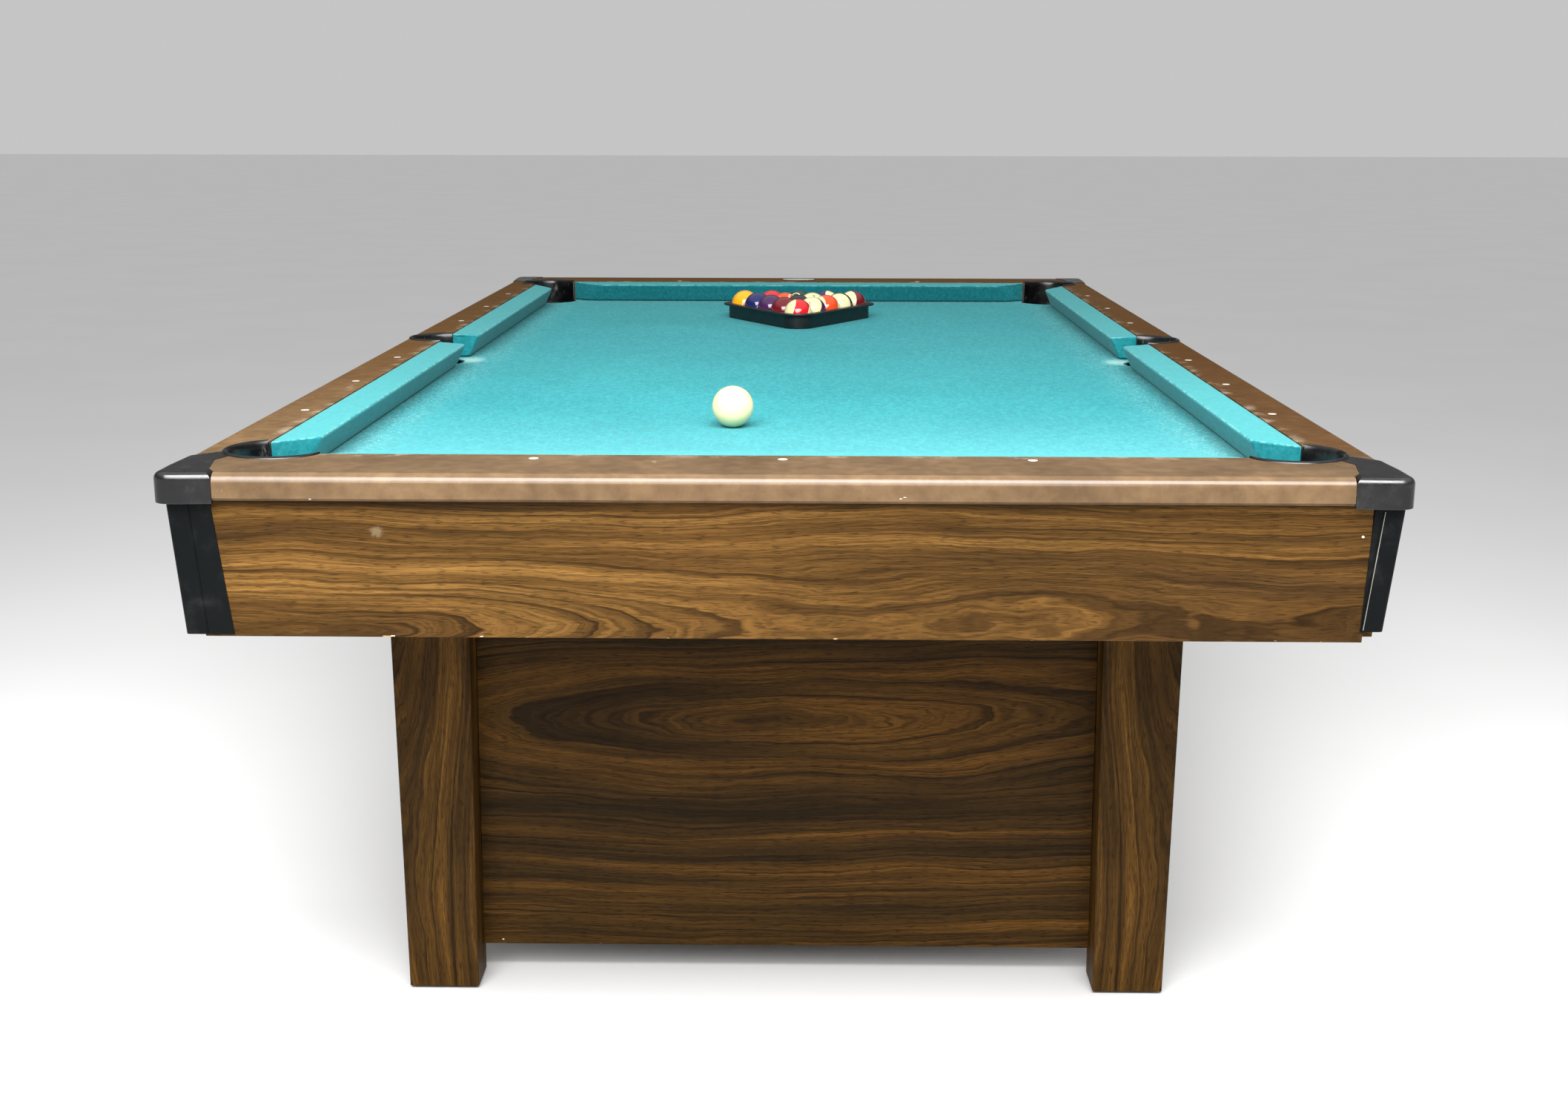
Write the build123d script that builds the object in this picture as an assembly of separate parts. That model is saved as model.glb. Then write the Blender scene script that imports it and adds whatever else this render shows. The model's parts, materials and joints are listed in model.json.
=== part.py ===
from build123d import *
import os
from math import cos, radians, sin, sqrt

# Eight-foot pool table, millimetres. +Z is up, the length runs along Y with the head (cue ball) end
# at -Y, and the origin is on the floor under the middle of the table.

# Playing field, measured between the cushion noses
FIELD_W, FIELD_L = 1117.6, 2235.2
CLOTH_Z = 744.0
NOSE_X, NOSE_Y = FIELD_W / 2, FIELD_L / 2
NOSE_H, RAIL_H = 36.0, 42.0
CUSHION_D = 47.2
GAP = 0.3

# Rails
RAIL_IN_X, RAIL_IN_Y = NOSE_X + CUSHION_D, NOSE_Y + CUSHION_D
RAIL_OUT_X, RAIL_OUT_Y = 673.0, 1291.0
RAIL_TOP = CLOTH_Z + RAIL_H
RAIL_T, RAIL_ROUND = 30.0, 12.0
RAIL_LOW = RAIL_TOP - RAIL_T

# Bed
CLOTH_T, SLATE_T = 1.0, 19.0
SLATE_X, SLATE_Y = 639.0, 1236.0
SLATE_TOP = CLOTH_Z - CLOTH_T
SLATE_LOW = SLATE_TOP - SLATE_T

# Cabinet
APRON_X, APRON_Y = 663.0, 1281.0
APRON_TOP, APRON_LOW = RAIL_LOW - GAP, 600.0
APRON_T, APRON_LEAN, END_APRON_HALF = 19.0, 10.0, 635.0
STRINGER_W, STRINGER_H = 38.0, 50.0
SILL_W, SILL_H = 38.0, 60.0
SILL_TOP = SLATE_LOW - GAP - STRINGER_H - GAP
SILL_LOW = SILL_TOP - SILL_H
SILL_Y = (873.5, 290.0)

# Pedestal legs and end panels
LEG_X, LEG_TOP_W, LEG_FOOT_W = 464.5, 105.0, 94.0
LEG_FRONT, LEG_BACK = 905.0, 842.0
LEG_LOW, LEG_TOP = 4.0, SILL_LOW - GAP
PANEL_T, PANEL_LOW = 17.0, 46.0
PAD_R, PAD_H, STUD_R, STUD_L = 19.0, 8.0, 5.0, 45.0

# Pockets: centres, wall and rim radii
POCKET_XY = (NOSE_X + 20.0, NOSE_Y + 20.0)
POCKET_R, SIDE_R = 59.0, 56.0
SIDE_CUP_X, SIDE_CUP_A, SIDE_CUP_B = 609.0, 33.5, 44.5
WALL, RIM_W, RIM_H, CUP_LOW = 3.0, 6.0, 2.5, 652.0
CORNER_NOSE, CORNER_BACK = 96.0, 34.5
SIDE_NOSE, SIDE_BACK = 66.0, 58.5

# Play equipment
BALL_R, BALL_PITCH = 28.575, 57.45
BALL_Z = CLOTH_Z + BALL_R + 0.1
CUE_BALL = (-76.0, -705.0)
APEX = (4.0, 572.0)
RACK_WALL, RACK_H, LIP_W, LIP_T = 5.0, 31.0, 11.0, 4.0
RACK_ROWS = ((11,), (7, 12), (4, 8, 13), (2, 5, 9, 14), (1, 3, 6, 10, 15))

# Hardware
SIGHT_R, SIGHT_T = 5.5, 2.0
SIGHT_IN = 23.0
BOLT_R, BOLT_HEAD_R, BOLT_HEAD_T = 4.5, 8.0, 5.0
PARTS = {}


def block(x0, x1, y0, y1, z0, z1):
    box = Box(abs(x1 - x0), abs(y1 - y0), abs(z1 - z0))
    return Pos((x0 + x1) / 2, (y0 + y1) / 2, (z0 + z1) / 2) * box


def prism(points, z0, z1):
    face = make_face(Polyline(*[(x, y) for x, y in points], close=True))
    return Pos(0, 0, z0) * extrude(face, z1 - z0)


def disc(x, y, r, z0, z1, r_top=None):
    if r_top is None or r_top == r:
        return Pos(x, y, (z0 + z1) / 2) * Cylinder(r, z1 - z0)
    return Pos(x, y, (z0 + z1) / 2) * Cone(r, r_top, z1 - z0)


def side_oval(grow, z0, z1):
    """The oval of the right side cup, grown by a distance."""
    return Pos(SIDE_CUP_X, 0, z0) * extrude(Ellipse(SIDE_CUP_A + grow, SIDE_CUP_B + grow), z1 - z0)


def profile_x(points, x0, x1):
    """Extrudes a closed (y, z) outline along X."""
    face = make_face(Polyline(*[(0, y, z) for y, z in points], close=True))
    return Pos(x0, 0, 0) * extrude(face, x1 - x0, dir=(1, 0, 0))


def profile_y(points, y0, y1):
    """Extrudes a closed (x, z) outline along Y."""
    face = make_face(Polyline(*[(x, 0, z) for x, z in points], close=True))
    return Pos(0, y0, 0) * extrude(face, y1 - y0, dir=(0, 1, 0))


def keep(name, *shapes):
    solids = [s for shape in shapes for s in shape.solids()]
    PARTS[name] = Compound(children=solids) if len(solids) > 1 else solids[0]


def mirrored(shape, sx, sy):
    """Turns a shape built in the +X +Y quarter into its mirror image in the quarter with those signs."""
    if sx < 0:
        shape = mirror(shape, Plane.YZ)
    if sy < 0:
        shape = mirror(shape, Plane.XZ)
    return shape


QUARTERS = {"head_left": (-1, -1), "head_right": (1, -1), "foot_left": (-1, 1), "foot_right": (1, 1)}


# Rail corner: the outline shared by the cap and the two rails that stop at it. The cap is nearly
# flush with the rails where it meets them and swells towards the corner.
CAP_X, CAP_Y = 677.0, 1294.0
CAP_OUTLINE = [
    (CAP_X, CAP_Y), (645.0, CAP_Y), (612.0, RAIL_OUT_Y + 0.8), (612.0, 1278.0), (622.0, 1262.0),
    (633.0, 1207.0), (624.0, 1183.0), (640.0, 1157.0), (RAIL_OUT_X + 0.8, 1190.0), (CAP_X, 1240.0),
]


def grown(points, by):
    face = make_face(Polyline(*points, close=True))
    return Pos(0, 0, RAIL_LOW - 20) * extrude(offset(face, by, kind=Kind.INTERSECTION), RAIL_T + 40)


def corner_cut():
    x, y = POCKET_XY
    return disc(x, y, POCKET_R + GAP, CUP_LOW, RAIL_TOP + 5)


def side_cut():
    return side_oval(GAP, CUP_LOW, RAIL_TOP) + disc(RAIL_IN_X, 0, SIDE_R + GAP, RAIL_LOW - GAP, RAIL_TOP + 5)


def sight_spots():
    spots = []
    for k in (1, 2, 3, 5, 6, 7):
        for s in (-1, 1):
            spots.append((s * (RAIL_IN_X + SIGHT_IN), -NOSE_Y + k * FIELD_L / 8))
    for k in (-1, 0, 1):
        spots.append((k * FIELD_W / 4, -(RAIL_IN_Y + SIGHT_IN)))
    for k in (-1, 1):
        spots.append((k * FIELD_W / 4, RAIL_IN_Y + SIGHT_IN))
    return spots


def rail_bolt_spots():
    spots = [(s * 622.0, y) for s in (-1, 1) for y in (-980, -560, -140, 140, 560, 980)]
    return spots + [(x, s * 1200.0) for s in (-1, 1) for x in (-420, -140, 140, 420)]


def bore_all(shape, spots, r, z0, z1):
    box = shape.bounding_box()
    for x, y in spots:
        if box.min.X < x < box.max.X and box.min.Y < y < box.max.Y:
            shape = shape - disc(x, y, r, z0, z1)
    return shape


def rail_outline(inner, outer, step):
    """Rail section: a board with a step down to the bed and a rounded outer edge."""
    low = CLOTH_Z + GAP
    r = RAIL_ROUND
    top = [(outer - r + r * sin(radians(a)), RAIL_TOP - r + r * cos(radians(a))) for a in range(0, 91, 6)]
    return [(inner, low), (inner, RAIL_TOP)] + top + [
        (outer, RAIL_LOW + 3), (outer - 3, RAIL_LOW), (step, RAIL_LOW), (step, low)]


def rails():
    cap = grown(CAP_OUTLINE, GAP)
    end = profile_x(rail_outline(RAIL_IN_Y, RAIL_OUT_Y, 1236.0), -660, 660)
    side = profile_y(rail_outline(RAIL_IN_X, RAIL_OUT_X, 639.0), -1195, 1195)
    for s in (-1, 1):
        end = end - mirrored(cap, s, 1) - mirrored(corner_cut(), s, 1)
        end = end - mirrored(block(636, 700, 1100, 1300, 700, 800), s, 1)
        end = end - mirrored(block(600, 700, 1100, 1183, 700, 800), s, 1)
        side = side - mirrored(cap, 1, s) - mirrored(corner_cut(), 1, s)
        side = side - mirrored(block(560, 640, 1157, 1300, 700, 800), 1, s)
    side = side - side_cut()
    end, side = end.solids().sort_by(SortBy.VOLUME)[-1], side.solids().sort_by(SortBy.VOLUME)[-1]
    side = side - block(600, 700, -GAP / 2, GAP / 2, 700, 800)
    for name, sx, sy, shape in (("rail_head", 1, -1, end), ("rail_foot", 1, 1, end),
                                ("rail_left", -1, 1, side), ("rail_right", 1, 1, side)):
        shape = mirrored(shape, sx, sy)
        shape = bore_all(shape, sight_spots(), SIGHT_R + GAP, RAIL_TOP - SIGHT_T, RAIL_TOP + 5)
        shape = bore_all(shape, rail_bolt_spots(), BOLT_R + GAP, CLOTH_Z - 5, RAIL_TOP - 14)
        keep(name, shape)


def cushion_outline(back):
    """Cushion section: sloping top, rounded nose and undercut face, behind the nose line."""
    d = -1.0
    nose = [(45.6, 33.6), (46.9, NOSE_H - 0.8), (46.9, NOSE_H + 0.8), (45.0, NOSE_H + 2.6)]
    pts = [(0, 0.6), (29.0, 0.6)] + nose + [(36.0, NOSE_H + 4.2), (0, RAIL_H - 0.3)]
    return [(back - GAP + d * u, CLOTH_Z + v) for u, v in pts]


def cushions():
    side = profile_y(cushion_outline(RAIL_IN_X), 0, 1150)
    n, b = NOSE_Y - CORNER_NOSE, NOSE_Y - CORNER_BACK
    plan = [(NOSE_X - 5, SIDE_NOSE), (NOSE_X, SIDE_NOSE), (RAIL_IN_X, SIDE_BACK),
            (RAIL_IN_X, b), (NOSE_X, n), (NOSE_X - 5, n)]
    side = side & prism(plan, CLOTH_Z - 5, RAIL_TOP + 5)
    for name, (sx, sy) in QUARTERS.items():
        keep("cushion_" + name, mirrored(side, sx, sy))
    end = profile_x(cushion_outline(RAIL_IN_Y), -600, 600)
    n, b = NOSE_X - CORNER_NOSE, NOSE_X - CORNER_BACK
    plan = [(-n, NOSE_Y - 5), (n, NOSE_Y - 5), (n, NOSE_Y), (b, RAIL_IN_Y), (-b, RAIL_IN_Y), (-n, NOSE_Y)]
    end = end & prism(plan, CLOTH_Z - 5, RAIL_TOP + 5)
    keep("cushion_head", mirrored(end, 1, -1))
    keep("cushion_foot", end)


def bed():
    for name, z0, z1 in (("slate_bed", SLATE_LOW, SLATE_TOP), ("bed_cloth", SLATE_TOP, CLOTH_Z)):
        plate = block(-SLATE_X, SLATE_X, -SLATE_Y, SLATE_Y, z0, z1)
        for sx, sy in QUARTERS.values():
            x, y = POCKET_XY
            hole = disc(x, y, POCKET_R + GAP, z0 - 1, z1 + 1)
            edge_x, edge_y = SLATE_X + 1, SLATE_Y + 1
            inner = [(x - 30, y + 41), (x + 41, y - 30)]
            outline = inner + [(edge_x, y - 30), (edge_x, edge_y), (x - 30, edge_y)]
            notch = prism(outline, z0 - 1, z1 + 1)
            plate = plate - mirrored(hole, sx, sy) - mirrored(notch, sx, sy)
        for s in (-1, 1):
            hole, wide = side_oval(1.2, z0 - 1, z1 + 1), SIDE_CUP_B + 1.2
            notch = block(SIDE_CUP_X, SLATE_X + 1, -wide, wide, z0 - 1, z1 + 1)
            plate = plate - mirrored(hole, s, 1) - mirrored(notch, s, 1)
        keep(name, bore_all(plate, rail_bolt_spots(), BOLT_R + GAP, z0 - 1, z1 + 1))


def corner_pocket():
    """Moulded cup: conical bucket, upright wall behind the mouth and a rim over the rails."""
    x, y = POCKET_XY
    cup = disc(x, y, 50.0, CUP_LOW, SLATE_LOW, 57.0) + disc(x, y, 57.0, SLATE_LOW, CLOTH_Z, POCKET_R)
    cup = cup + disc(x, y, POCKET_R, CLOTH_Z, RAIL_TOP + RIM_H)
    cup = cup + disc(x, y, POCKET_R + RIM_W, RAIL_TOP + 0.1, RAIL_TOP + RIM_H)
    cup = cup - disc(x, y, 50.0 - WALL, CUP_LOW + WALL, SLATE_LOW, 57.0 - WALL)
    cup = cup - disc(x, y, 57.0 - WALL, SLATE_LOW, CLOTH_Z, POCKET_R - WALL)
    cup = cup - disc(x, y, POCKET_R - WALL, CLOTH_Z, RAIL_TOP + 5)
    a, b, far = radians(290), radians(160), 200.0
    ends = [(x + far * cos(t), y + far * sin(t)) for t in (a, b)]
    mouth = [(x, y), ends[0], (x - 150, y - 150), ends[1]]
    return cup - prism(mouth, SLATE_TOP, RAIL_TOP + 5)


def side_pocket():
    """The side cup hangs inside the apron while its wall reaches out over it, so a ledge joins them."""
    ledge, wall_x, w = APRON_TOP + 2 * GAP, RAIL_IN_X, WALL
    out = side_oval(0, CUP_LOW, ledge) + disc(wall_x, 0, SIDE_R, ledge, RAIL_TOP + RIM_H)
    out = out + disc(wall_x, 0, SIDE_R + RIM_W, RAIL_TOP + 0.1, RAIL_TOP + RIM_H)
    out = out - side_oval(-w, CUP_LOW + w, ledge + w)
    out = out - disc(wall_x, 0, SIDE_R - w, ledge + w, RAIL_TOP + 5)
    out = out - block(500, RAIL_IN_X - 3, -90, 90, SLATE_TOP, RAIL_TOP + 5)
    return out.solids().sort_by(SortBy.VOLUME)[-1]


def pockets():
    for name, (sx, sy) in QUARTERS.items():
        keep("pocket_" + name, mirrored(corner_pocket(), sx, sy))
    keep("pocket_side_right", side_pocket())
    keep("pocket_side_left", mirrored(side_pocket(), -1, 1))


def corner_caps():
    top, low, skin = RAIL_TOP + 0.8, RAIL_LOW - 3.0, 4.0
    face = make_face(Polyline(*CAP_OUTLINE, close=True))
    body = Pos(0, 0, low) * extrude(face, top - low)
    edge = body.edges().filter_by(Axis.Z).sort_by(lambda e: e.center().X + e.center().Y)[-1]
    body = fillet(edge, 18.0)
    rim = [e for e in body.edges() if abs(e.center().Z - top) < 0.01
           and (e.center().X > RAIL_OUT_X - 7 or e.center().Y > RAIL_OUT_Y - 7)]
    body = fillet(rim, 8.0)
    inner = block(500, RAIL_OUT_X - skin, 1000, RAIL_OUT_Y - skin, low - 1, top - skin)
    corner = inner.edges().filter_by(Axis.Z).sort_by(lambda e: e.center().X + e.center().Y)[-1]
    body = body - fillet(corner, 14.0)
    x, y = POCKET_XY
    body = body - disc(x, y, POCKET_R + GAP, low - 1, top + 1)
    body = body - disc(x, y, POCKET_R + RIM_W + GAP, RAIL_TOP - 0.1, top + 9)
    body = body.solids().sort_by(SortBy.VOLUME)[-1]
    for name, (sx, sy) in QUARTERS.items():
        keep("cap_" + name, mirrored(body, sx, sy))


def leaning(outer, z):
    return outer - APRON_LEAN * (APRON_TOP - z) / (APRON_TOP - APRON_LOW)


def aprons():
    def board(outer):
        low, t = outer - APRON_LEAN, APRON_T
        return [(outer, APRON_TOP), (outer - t, APRON_TOP), (low - t, APRON_LOW), (low, APRON_LOW)]

    half = APRON_Y - APRON_T - APRON_LEAN - 5
    end = profile_x(board(APRON_Y), -END_APRON_HALF, END_APRON_HALF)
    side = profile_y(board(APRON_X), -half, half)
    side = side - side_oval(GAP, CUP_LOW - GAP, APRON_TOP + 1)
    keep("apron_head", mirrored(end, 1, -1))
    keep("apron_foot", end)
    keep("apron_right", side)
    keep("apron_left", mirrored(side, -1, 1))


def trim(flanges, bead, z_low, slip=0.0):
    """Angle moulding round a leaning apron corner: thin flanges with a thicker bead at the corner.
    Flanges are the front flange's widths at the top and the bottom, and slip moves the top outwards."""
    thin, thick, side = 1.4, 2.4, 48.0

    def section(z, flange, out):
        ox, oy = leaning(APRON_X, z) + 0.3 + out, leaning(APRON_Y, z) + 0.3
        front = [(ox - flange, oy), (ox - flange, oy + thin), (ox - bead - 1, oy + thin)]
        corner = [(ox - bead, oy + thick), (ox - 3, oy + thick), (ox + 1.4, oy + 1.4)]
        flank = [(ox + thick, oy - 3), (ox + thick, oy - bead), (ox + thin, oy - bead - 1)]
        outline = [(ox, oy)] + front + corner + flank + [(ox + thin, oy - side), (ox, oy - side)]
        return make_face(Polyline(*[(x, y, z) for x, y in outline], close=True))

    return loft([section(z_low, flanges[1], 0.0), section(RAIL_LOW - 3.5, flanges[0], slip)])


def trims():
    full = trim((46.0, 51.0), 21.0, APRON_LOW + 3)
    loose = trim((31.0, 22.5), 20.0, APRON_LOW + 13, slip=3.5)
    keep("apron_trims", *[mirrored(loose if n == "head_right" else full, *s) for n, s in QUARTERS.items()])


def corner_blocks():
    x, y = leaning(APRON_X - APRON_T, 640) - GAP, leaning(APRON_Y - APRON_T, 640) - GAP
    keep("corner_blocks", *[mirrored(block(580, x, 1212, y, 640, 718), *s) for s in QUARTERS.values()])


def frame():
    z1 = SLATE_LOW - GAP
    y1 = APRON_Y - APRON_T - APRON_LEAN + 3
    w = STRINGER_W / 2
    keep("stringers", *[block(x - w, x + w, -y1, y1, z1 - STRINGER_H, z1) for x in (-LEG_X, 0, LEG_X)])
    half = leaning(APRON_X - APRON_T, SILL_LOW) - GAP
    sills = []
    for y in (-SILL_Y[0], -SILL_Y[1], SILL_Y[1], SILL_Y[0]):
        sill = block(-half, half, y - SILL_W / 2, y + SILL_W / 2, SILL_LOW, SILL_TOP)
        if abs(y) == SILL_Y[0]:
            for x, _ in leg_bolt_spots():
                sill = sill - disc(x, y, BOLT_R + GAP, SILL_LOW - 1, SILL_TOP + 1)
        sills.append(sill)
    keep("sills", *sills)


def leg_bolt_spots():
    return [(s * (LEG_X + d), t * SILL_Y[0]) for s in (-1, 1) for t in (-1, 1) for d in (-34, 34)]


def leg():
    """Tapered square leg with a pad recess and a threaded socket in its foot."""
    top, foot = LEG_TOP_W / 2, LEG_FOOT_W / 2
    front = [(LEG_X - foot, LEG_LOW), (LEG_X + foot, LEG_LOW), (LEG_X + top, LEG_TOP), (LEG_X - top, LEG_TOP)]
    post = profile_y(front, LEG_BACK, LEG_FRONT)
    y = (LEG_BACK + LEG_FRONT) / 2
    post = chamfer(post.edges().filter_by(lambda e: e.length > 500), 1.5)
    post = post - disc(LEG_X, y, PAD_R + 1, LEG_LOW - 1, PAD_H + GAP)
    post = post - disc(LEG_X, y, STUD_R + 0.05, LEG_LOW - 1, PAD_H + STUD_L + 2)
    return bore_all(post, leg_bolt_spots(), BOLT_R + GAP, LEG_TOP - 45, LEG_TOP + 1)


def leveller():
    y = (LEG_BACK + LEG_FRONT) / 2
    pad = chamfer(Cylinder(PAD_R, PAD_H).edges(), 1.0)
    return Pos(LEG_X, y, PAD_H / 2) * pad + disc(LEG_X, y, STUD_R, PAD_H, PAD_H + STUD_L)


def legs_and_panels():
    for name, (sx, sy) in QUARTERS.items():
        keep("leg_" + name, mirrored(leg(), sx, sy))
        keep("leveller_" + name, mirrored(leveller(), sx, sy))

    def half(z):
        taper = (LEG_TOP_W - LEG_FOOT_W) / 2 * (z - LEG_LOW) / (LEG_TOP - LEG_LOW)
        return LEG_X - LEG_FOOT_W / 2 - taper - GAP

    outline = [(-half(PANEL_LOW), PANEL_LOW), (half(PANEL_LOW), PANEL_LOW), (half(LEG_TOP), LEG_TOP),
               (-half(LEG_TOP), LEG_TOP)]
    panel = profile_y(outline, LEG_BACK, LEG_BACK + PANEL_T)
    keep("panel_foot", panel)
    keep("panel_head", mirrored(panel, 1, -1))


def bolt(x, y, z_head, length):
    head = extrude(RegularPolygon(BOLT_HEAD_R, 6), BOLT_HEAD_T)
    return Pos(x, y, z_head - BOLT_HEAD_T) * head + disc(x, y, BOLT_R, z_head, z_head + length)


def hardware():
    rail = [bolt(x, y, SLATE_LOW - GAP, 38.0) for x, y in rail_bolt_spots()]
    down = Rot(180, 0, 0) * bolt(0, 0, 0, SILL_H + 30.0)
    legs = [Pos(x, y, SILL_TOP + GAP) * down for x, y in leg_bolt_spots()]
    keep("frame_bolts", *rail, *legs)
    keep("sights", *[disc(x, y, SIGHT_R, RAIL_TOP - SIGHT_T + 0.1, RAIL_TOP + 0.3) for x, y in sight_spots()])
    plate = Pos(0, 1226.0, RAIL_TOP + 0.1) * extrude(Ellipse(41.0, 21.0), 1.4)
    keep("nameplate", plate)


def rack_spots():
    step = BALL_PITCH * sqrt(3) / 2
    for row, numbers in enumerate(RACK_ROWS):
        for i, number in enumerate(numbers):
            yield number, APEX[0] + (i - row / 2) * BALL_PITCH, APEX[1] + row * step


def equipment():
    keep("cue_ball", Pos(CUE_BALL[0], CUE_BALL[1], BALL_Z) * Sphere(BALL_R))
    for number, x, y in rack_spots():
        keep("ball_%02d" % number, Pos(x, y, BALL_Z) * Sphere(BALL_R))
    spots = {n: (x, y) for n, x, y in rack_spots()}
    centres = make_face(Polyline(spots[11], spots[1], spots[15], close=True))

    def ring(inner, outer, z0, z1):
        a = extrude(offset(centres, outer, kind=Kind.ARC), z1 - z0)
        b = extrude(offset(centres, inner, kind=Kind.ARC), z1 - z0)
        return Pos(0, 0, z0) * (a - b)

    r, z = BALL_R + 0.5, CLOTH_Z + 0.1
    wall = ring(r, r + RACK_WALL, z, z + RACK_H)
    lip = ring(r, r + RACK_WALL + LIP_W, z + RACK_H - LIP_T, z + RACK_H)
    keep("rack", wall + lip)


def main():
    bed()
    rails()
    cushions()
    pockets()
    corner_caps()
    aprons()
    trims()
    corner_blocks()
    frame()
    legs_and_panels()
    hardware()
    equipment()
    os.makedirs("parts", exist_ok=True)
    for name, shape in PARTS.items():
        export_step(shape, "parts/%s.step" % name)
    print(len(PARTS), "nodes")


main()
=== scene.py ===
import json
from math import asin, atan2, cos, exp, pi, radians, sin, sqrt

import bmesh
import bpy
from mathutils import Matrix, Vector, noise

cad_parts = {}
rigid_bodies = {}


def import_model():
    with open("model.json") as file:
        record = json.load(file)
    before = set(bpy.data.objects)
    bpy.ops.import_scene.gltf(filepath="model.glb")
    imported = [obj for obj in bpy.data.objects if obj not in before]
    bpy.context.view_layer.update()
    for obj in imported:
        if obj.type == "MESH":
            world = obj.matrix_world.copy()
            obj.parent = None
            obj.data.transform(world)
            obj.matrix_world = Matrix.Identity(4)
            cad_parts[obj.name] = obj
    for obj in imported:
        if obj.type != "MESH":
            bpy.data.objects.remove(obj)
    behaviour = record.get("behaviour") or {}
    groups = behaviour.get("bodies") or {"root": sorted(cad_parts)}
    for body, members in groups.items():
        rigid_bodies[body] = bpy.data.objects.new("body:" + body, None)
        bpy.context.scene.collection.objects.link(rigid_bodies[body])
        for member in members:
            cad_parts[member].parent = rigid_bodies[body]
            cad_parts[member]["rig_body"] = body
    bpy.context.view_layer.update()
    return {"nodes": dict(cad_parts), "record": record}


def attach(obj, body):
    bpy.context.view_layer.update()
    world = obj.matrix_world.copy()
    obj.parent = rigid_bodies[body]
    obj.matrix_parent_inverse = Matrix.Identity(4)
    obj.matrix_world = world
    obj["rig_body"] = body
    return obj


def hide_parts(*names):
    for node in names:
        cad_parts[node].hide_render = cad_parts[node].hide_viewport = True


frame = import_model()
nodes = frame["nodes"]
SLOTS = {s["node"]: s["material_slot"] for s in frame["record"]["subparts"]}
QUARTERS = {"head_left": (-1, -1), "head_right": (1, -1), "foot_left": (-1, 1), "foot_right": (1, 1)}

# Sizes in millimetres, the same as in the CAD model
CLOTH_Z, NOSE_X, NOSE_Y = 744.0, 558.8, 1117.6
RAIL_IN_X, RAIL_IN_Y, RAIL_TOP, RAIL_LOW = 606.0, 1164.8, 786.0, 756.0
SLATE_X, SLATE_Y, SLATE_LOW = 639.0, 1236.0, 724.0
POCKET_X, POCKET_Y, POCKET_R, THROAT = 578.8, 1137.6, 59.0, 30.0
SIDE_X, SIDE_CUP_A, SIDE_CUP_B, SIDE_R, WALL = 609.0, 33.5, 44.5, 56.0, 3.0
RIM_W, RIM_H, CUP_LOW, CUP_LOW_R, CUP_MID_R = 6.0, 2.5, 652.0, 50, 57
APRON_X, APRON_Y, APRON_TOP, APRON_LOW, APRON_LEAN = 663.0, 1281.0, 755.7, 600.0, 10.0
SIGHT_X, SIGHT_Y, SIGHT_R = 629.0, 1187.8, 5.5
PLATE_A, PLATE_B, PLATE_Y = 41, 21, 1226
LEG_X, LEG_Y = 464.5, 873.5
BALL_R, BALL_PITCH = 28.575, 57.45
BALL_Z = CLOTH_Z + BALL_R + 0.1
CUE_BALL, APEX = (-76.0, -705.0), (4.0, 572.0)
RACK_ROWS = ((11,), (7, 12), (4, 8, 13), (2, 5, 9, 14), (1, 3, 6, 10, 15))


# ---------------------------------------------------------------- mesh helpers

def V(x, y, z):
    """A point given in millimetres."""
    return Vector((x, y, z)) * 0.001


def piece(name, bm, material, body, stands_for, slot, angle):
    """A bmesh becomes a finished piece: normals, smooth shading that breaks at edges sharper than
    an angle in degrees, one material or a list of them, and the body it rides on."""
    bmesh.ops.recalc_face_normals(bm, faces=bm.faces)
    mesh = bpy.data.meshes.new(name)
    bm.to_mesh(mesh)
    bm.free()
    mesh.shade_smooth()
    mesh.set_sharp_from_angle(angle=radians(angle))
    obj = bpy.data.objects.new(name, mesh)
    bpy.context.scene.collection.objects.link(obj)
    for m in material if isinstance(material, list) else [material]:
        mesh.materials.append(m)
    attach(obj, body)
    if stands_for:
        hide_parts(stands_for)
    return obj


def skin(bm, rows, ring=True, wrap=False, cap=True, mat=0):
    """Quads between rows of points. ring closes each row, wrap joins the last row to the first, and
    cap closes the first and the last row with a face each."""
    vs = [[bm.verts.new(p) for p in row] for row in rows]
    n, m = len(vs), len(vs[0])
    for i in range(n if wrap else n - 1):
        a, b = vs[i], vs[(i + 1) % n]
        for j in range(m if ring else m - 1):
            k = (j + 1) % m
            bm.faces.new((a[j], a[k], b[k], b[j])).material_index = mat
    if cap and not wrap:
        for row in (vs[0], vs[-1]):
            bm.faces.new(row).material_index = mat
    return vs


def fillet(points, radii, n=5):
    """Rounds the corners of a closed 2D outline. A radius of 0 keeps the corner."""
    out, count = [], len(points)
    for i, (p, r) in enumerate(zip(points, radii)):
        p = Vector(p)
        if r <= 0:
            out.append(p)
            continue
        a, b = Vector(points[i - 1]) - p, Vector(points[(i + 1) % count]) - p
        half = a.angle(b) / 2
        reach = r / max(1e-6, sin(half) / cos(half))
        centre = p + (a.normalized() + b.normalized()).normalized() * (r / sin(half))
        p0, p1 = p + a.normalized() * reach, p + b.normalized() * reach
        t0, t1 = atan2(*(p0 - centre).yx), atan2(*(p1 - centre).yx)
        turn = (t1 - t0 + pi) % (2 * pi) - pi
        for k in range(n + 1):
            t = t0 + turn * k / n
            out.append(centre + Vector((cos(t), sin(t))) * r)
    return out


def divide(points, step):
    """Adds points along the longer sides of a closed 2D outline."""
    out = []
    for i, p in enumerate(points):
        q = points[(i + 1) % len(points)]
        k = max(1, int(round((q - p).length / step)))
        out += [p.lerp(q, j / k) for j in range(k)]
    return out


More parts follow.
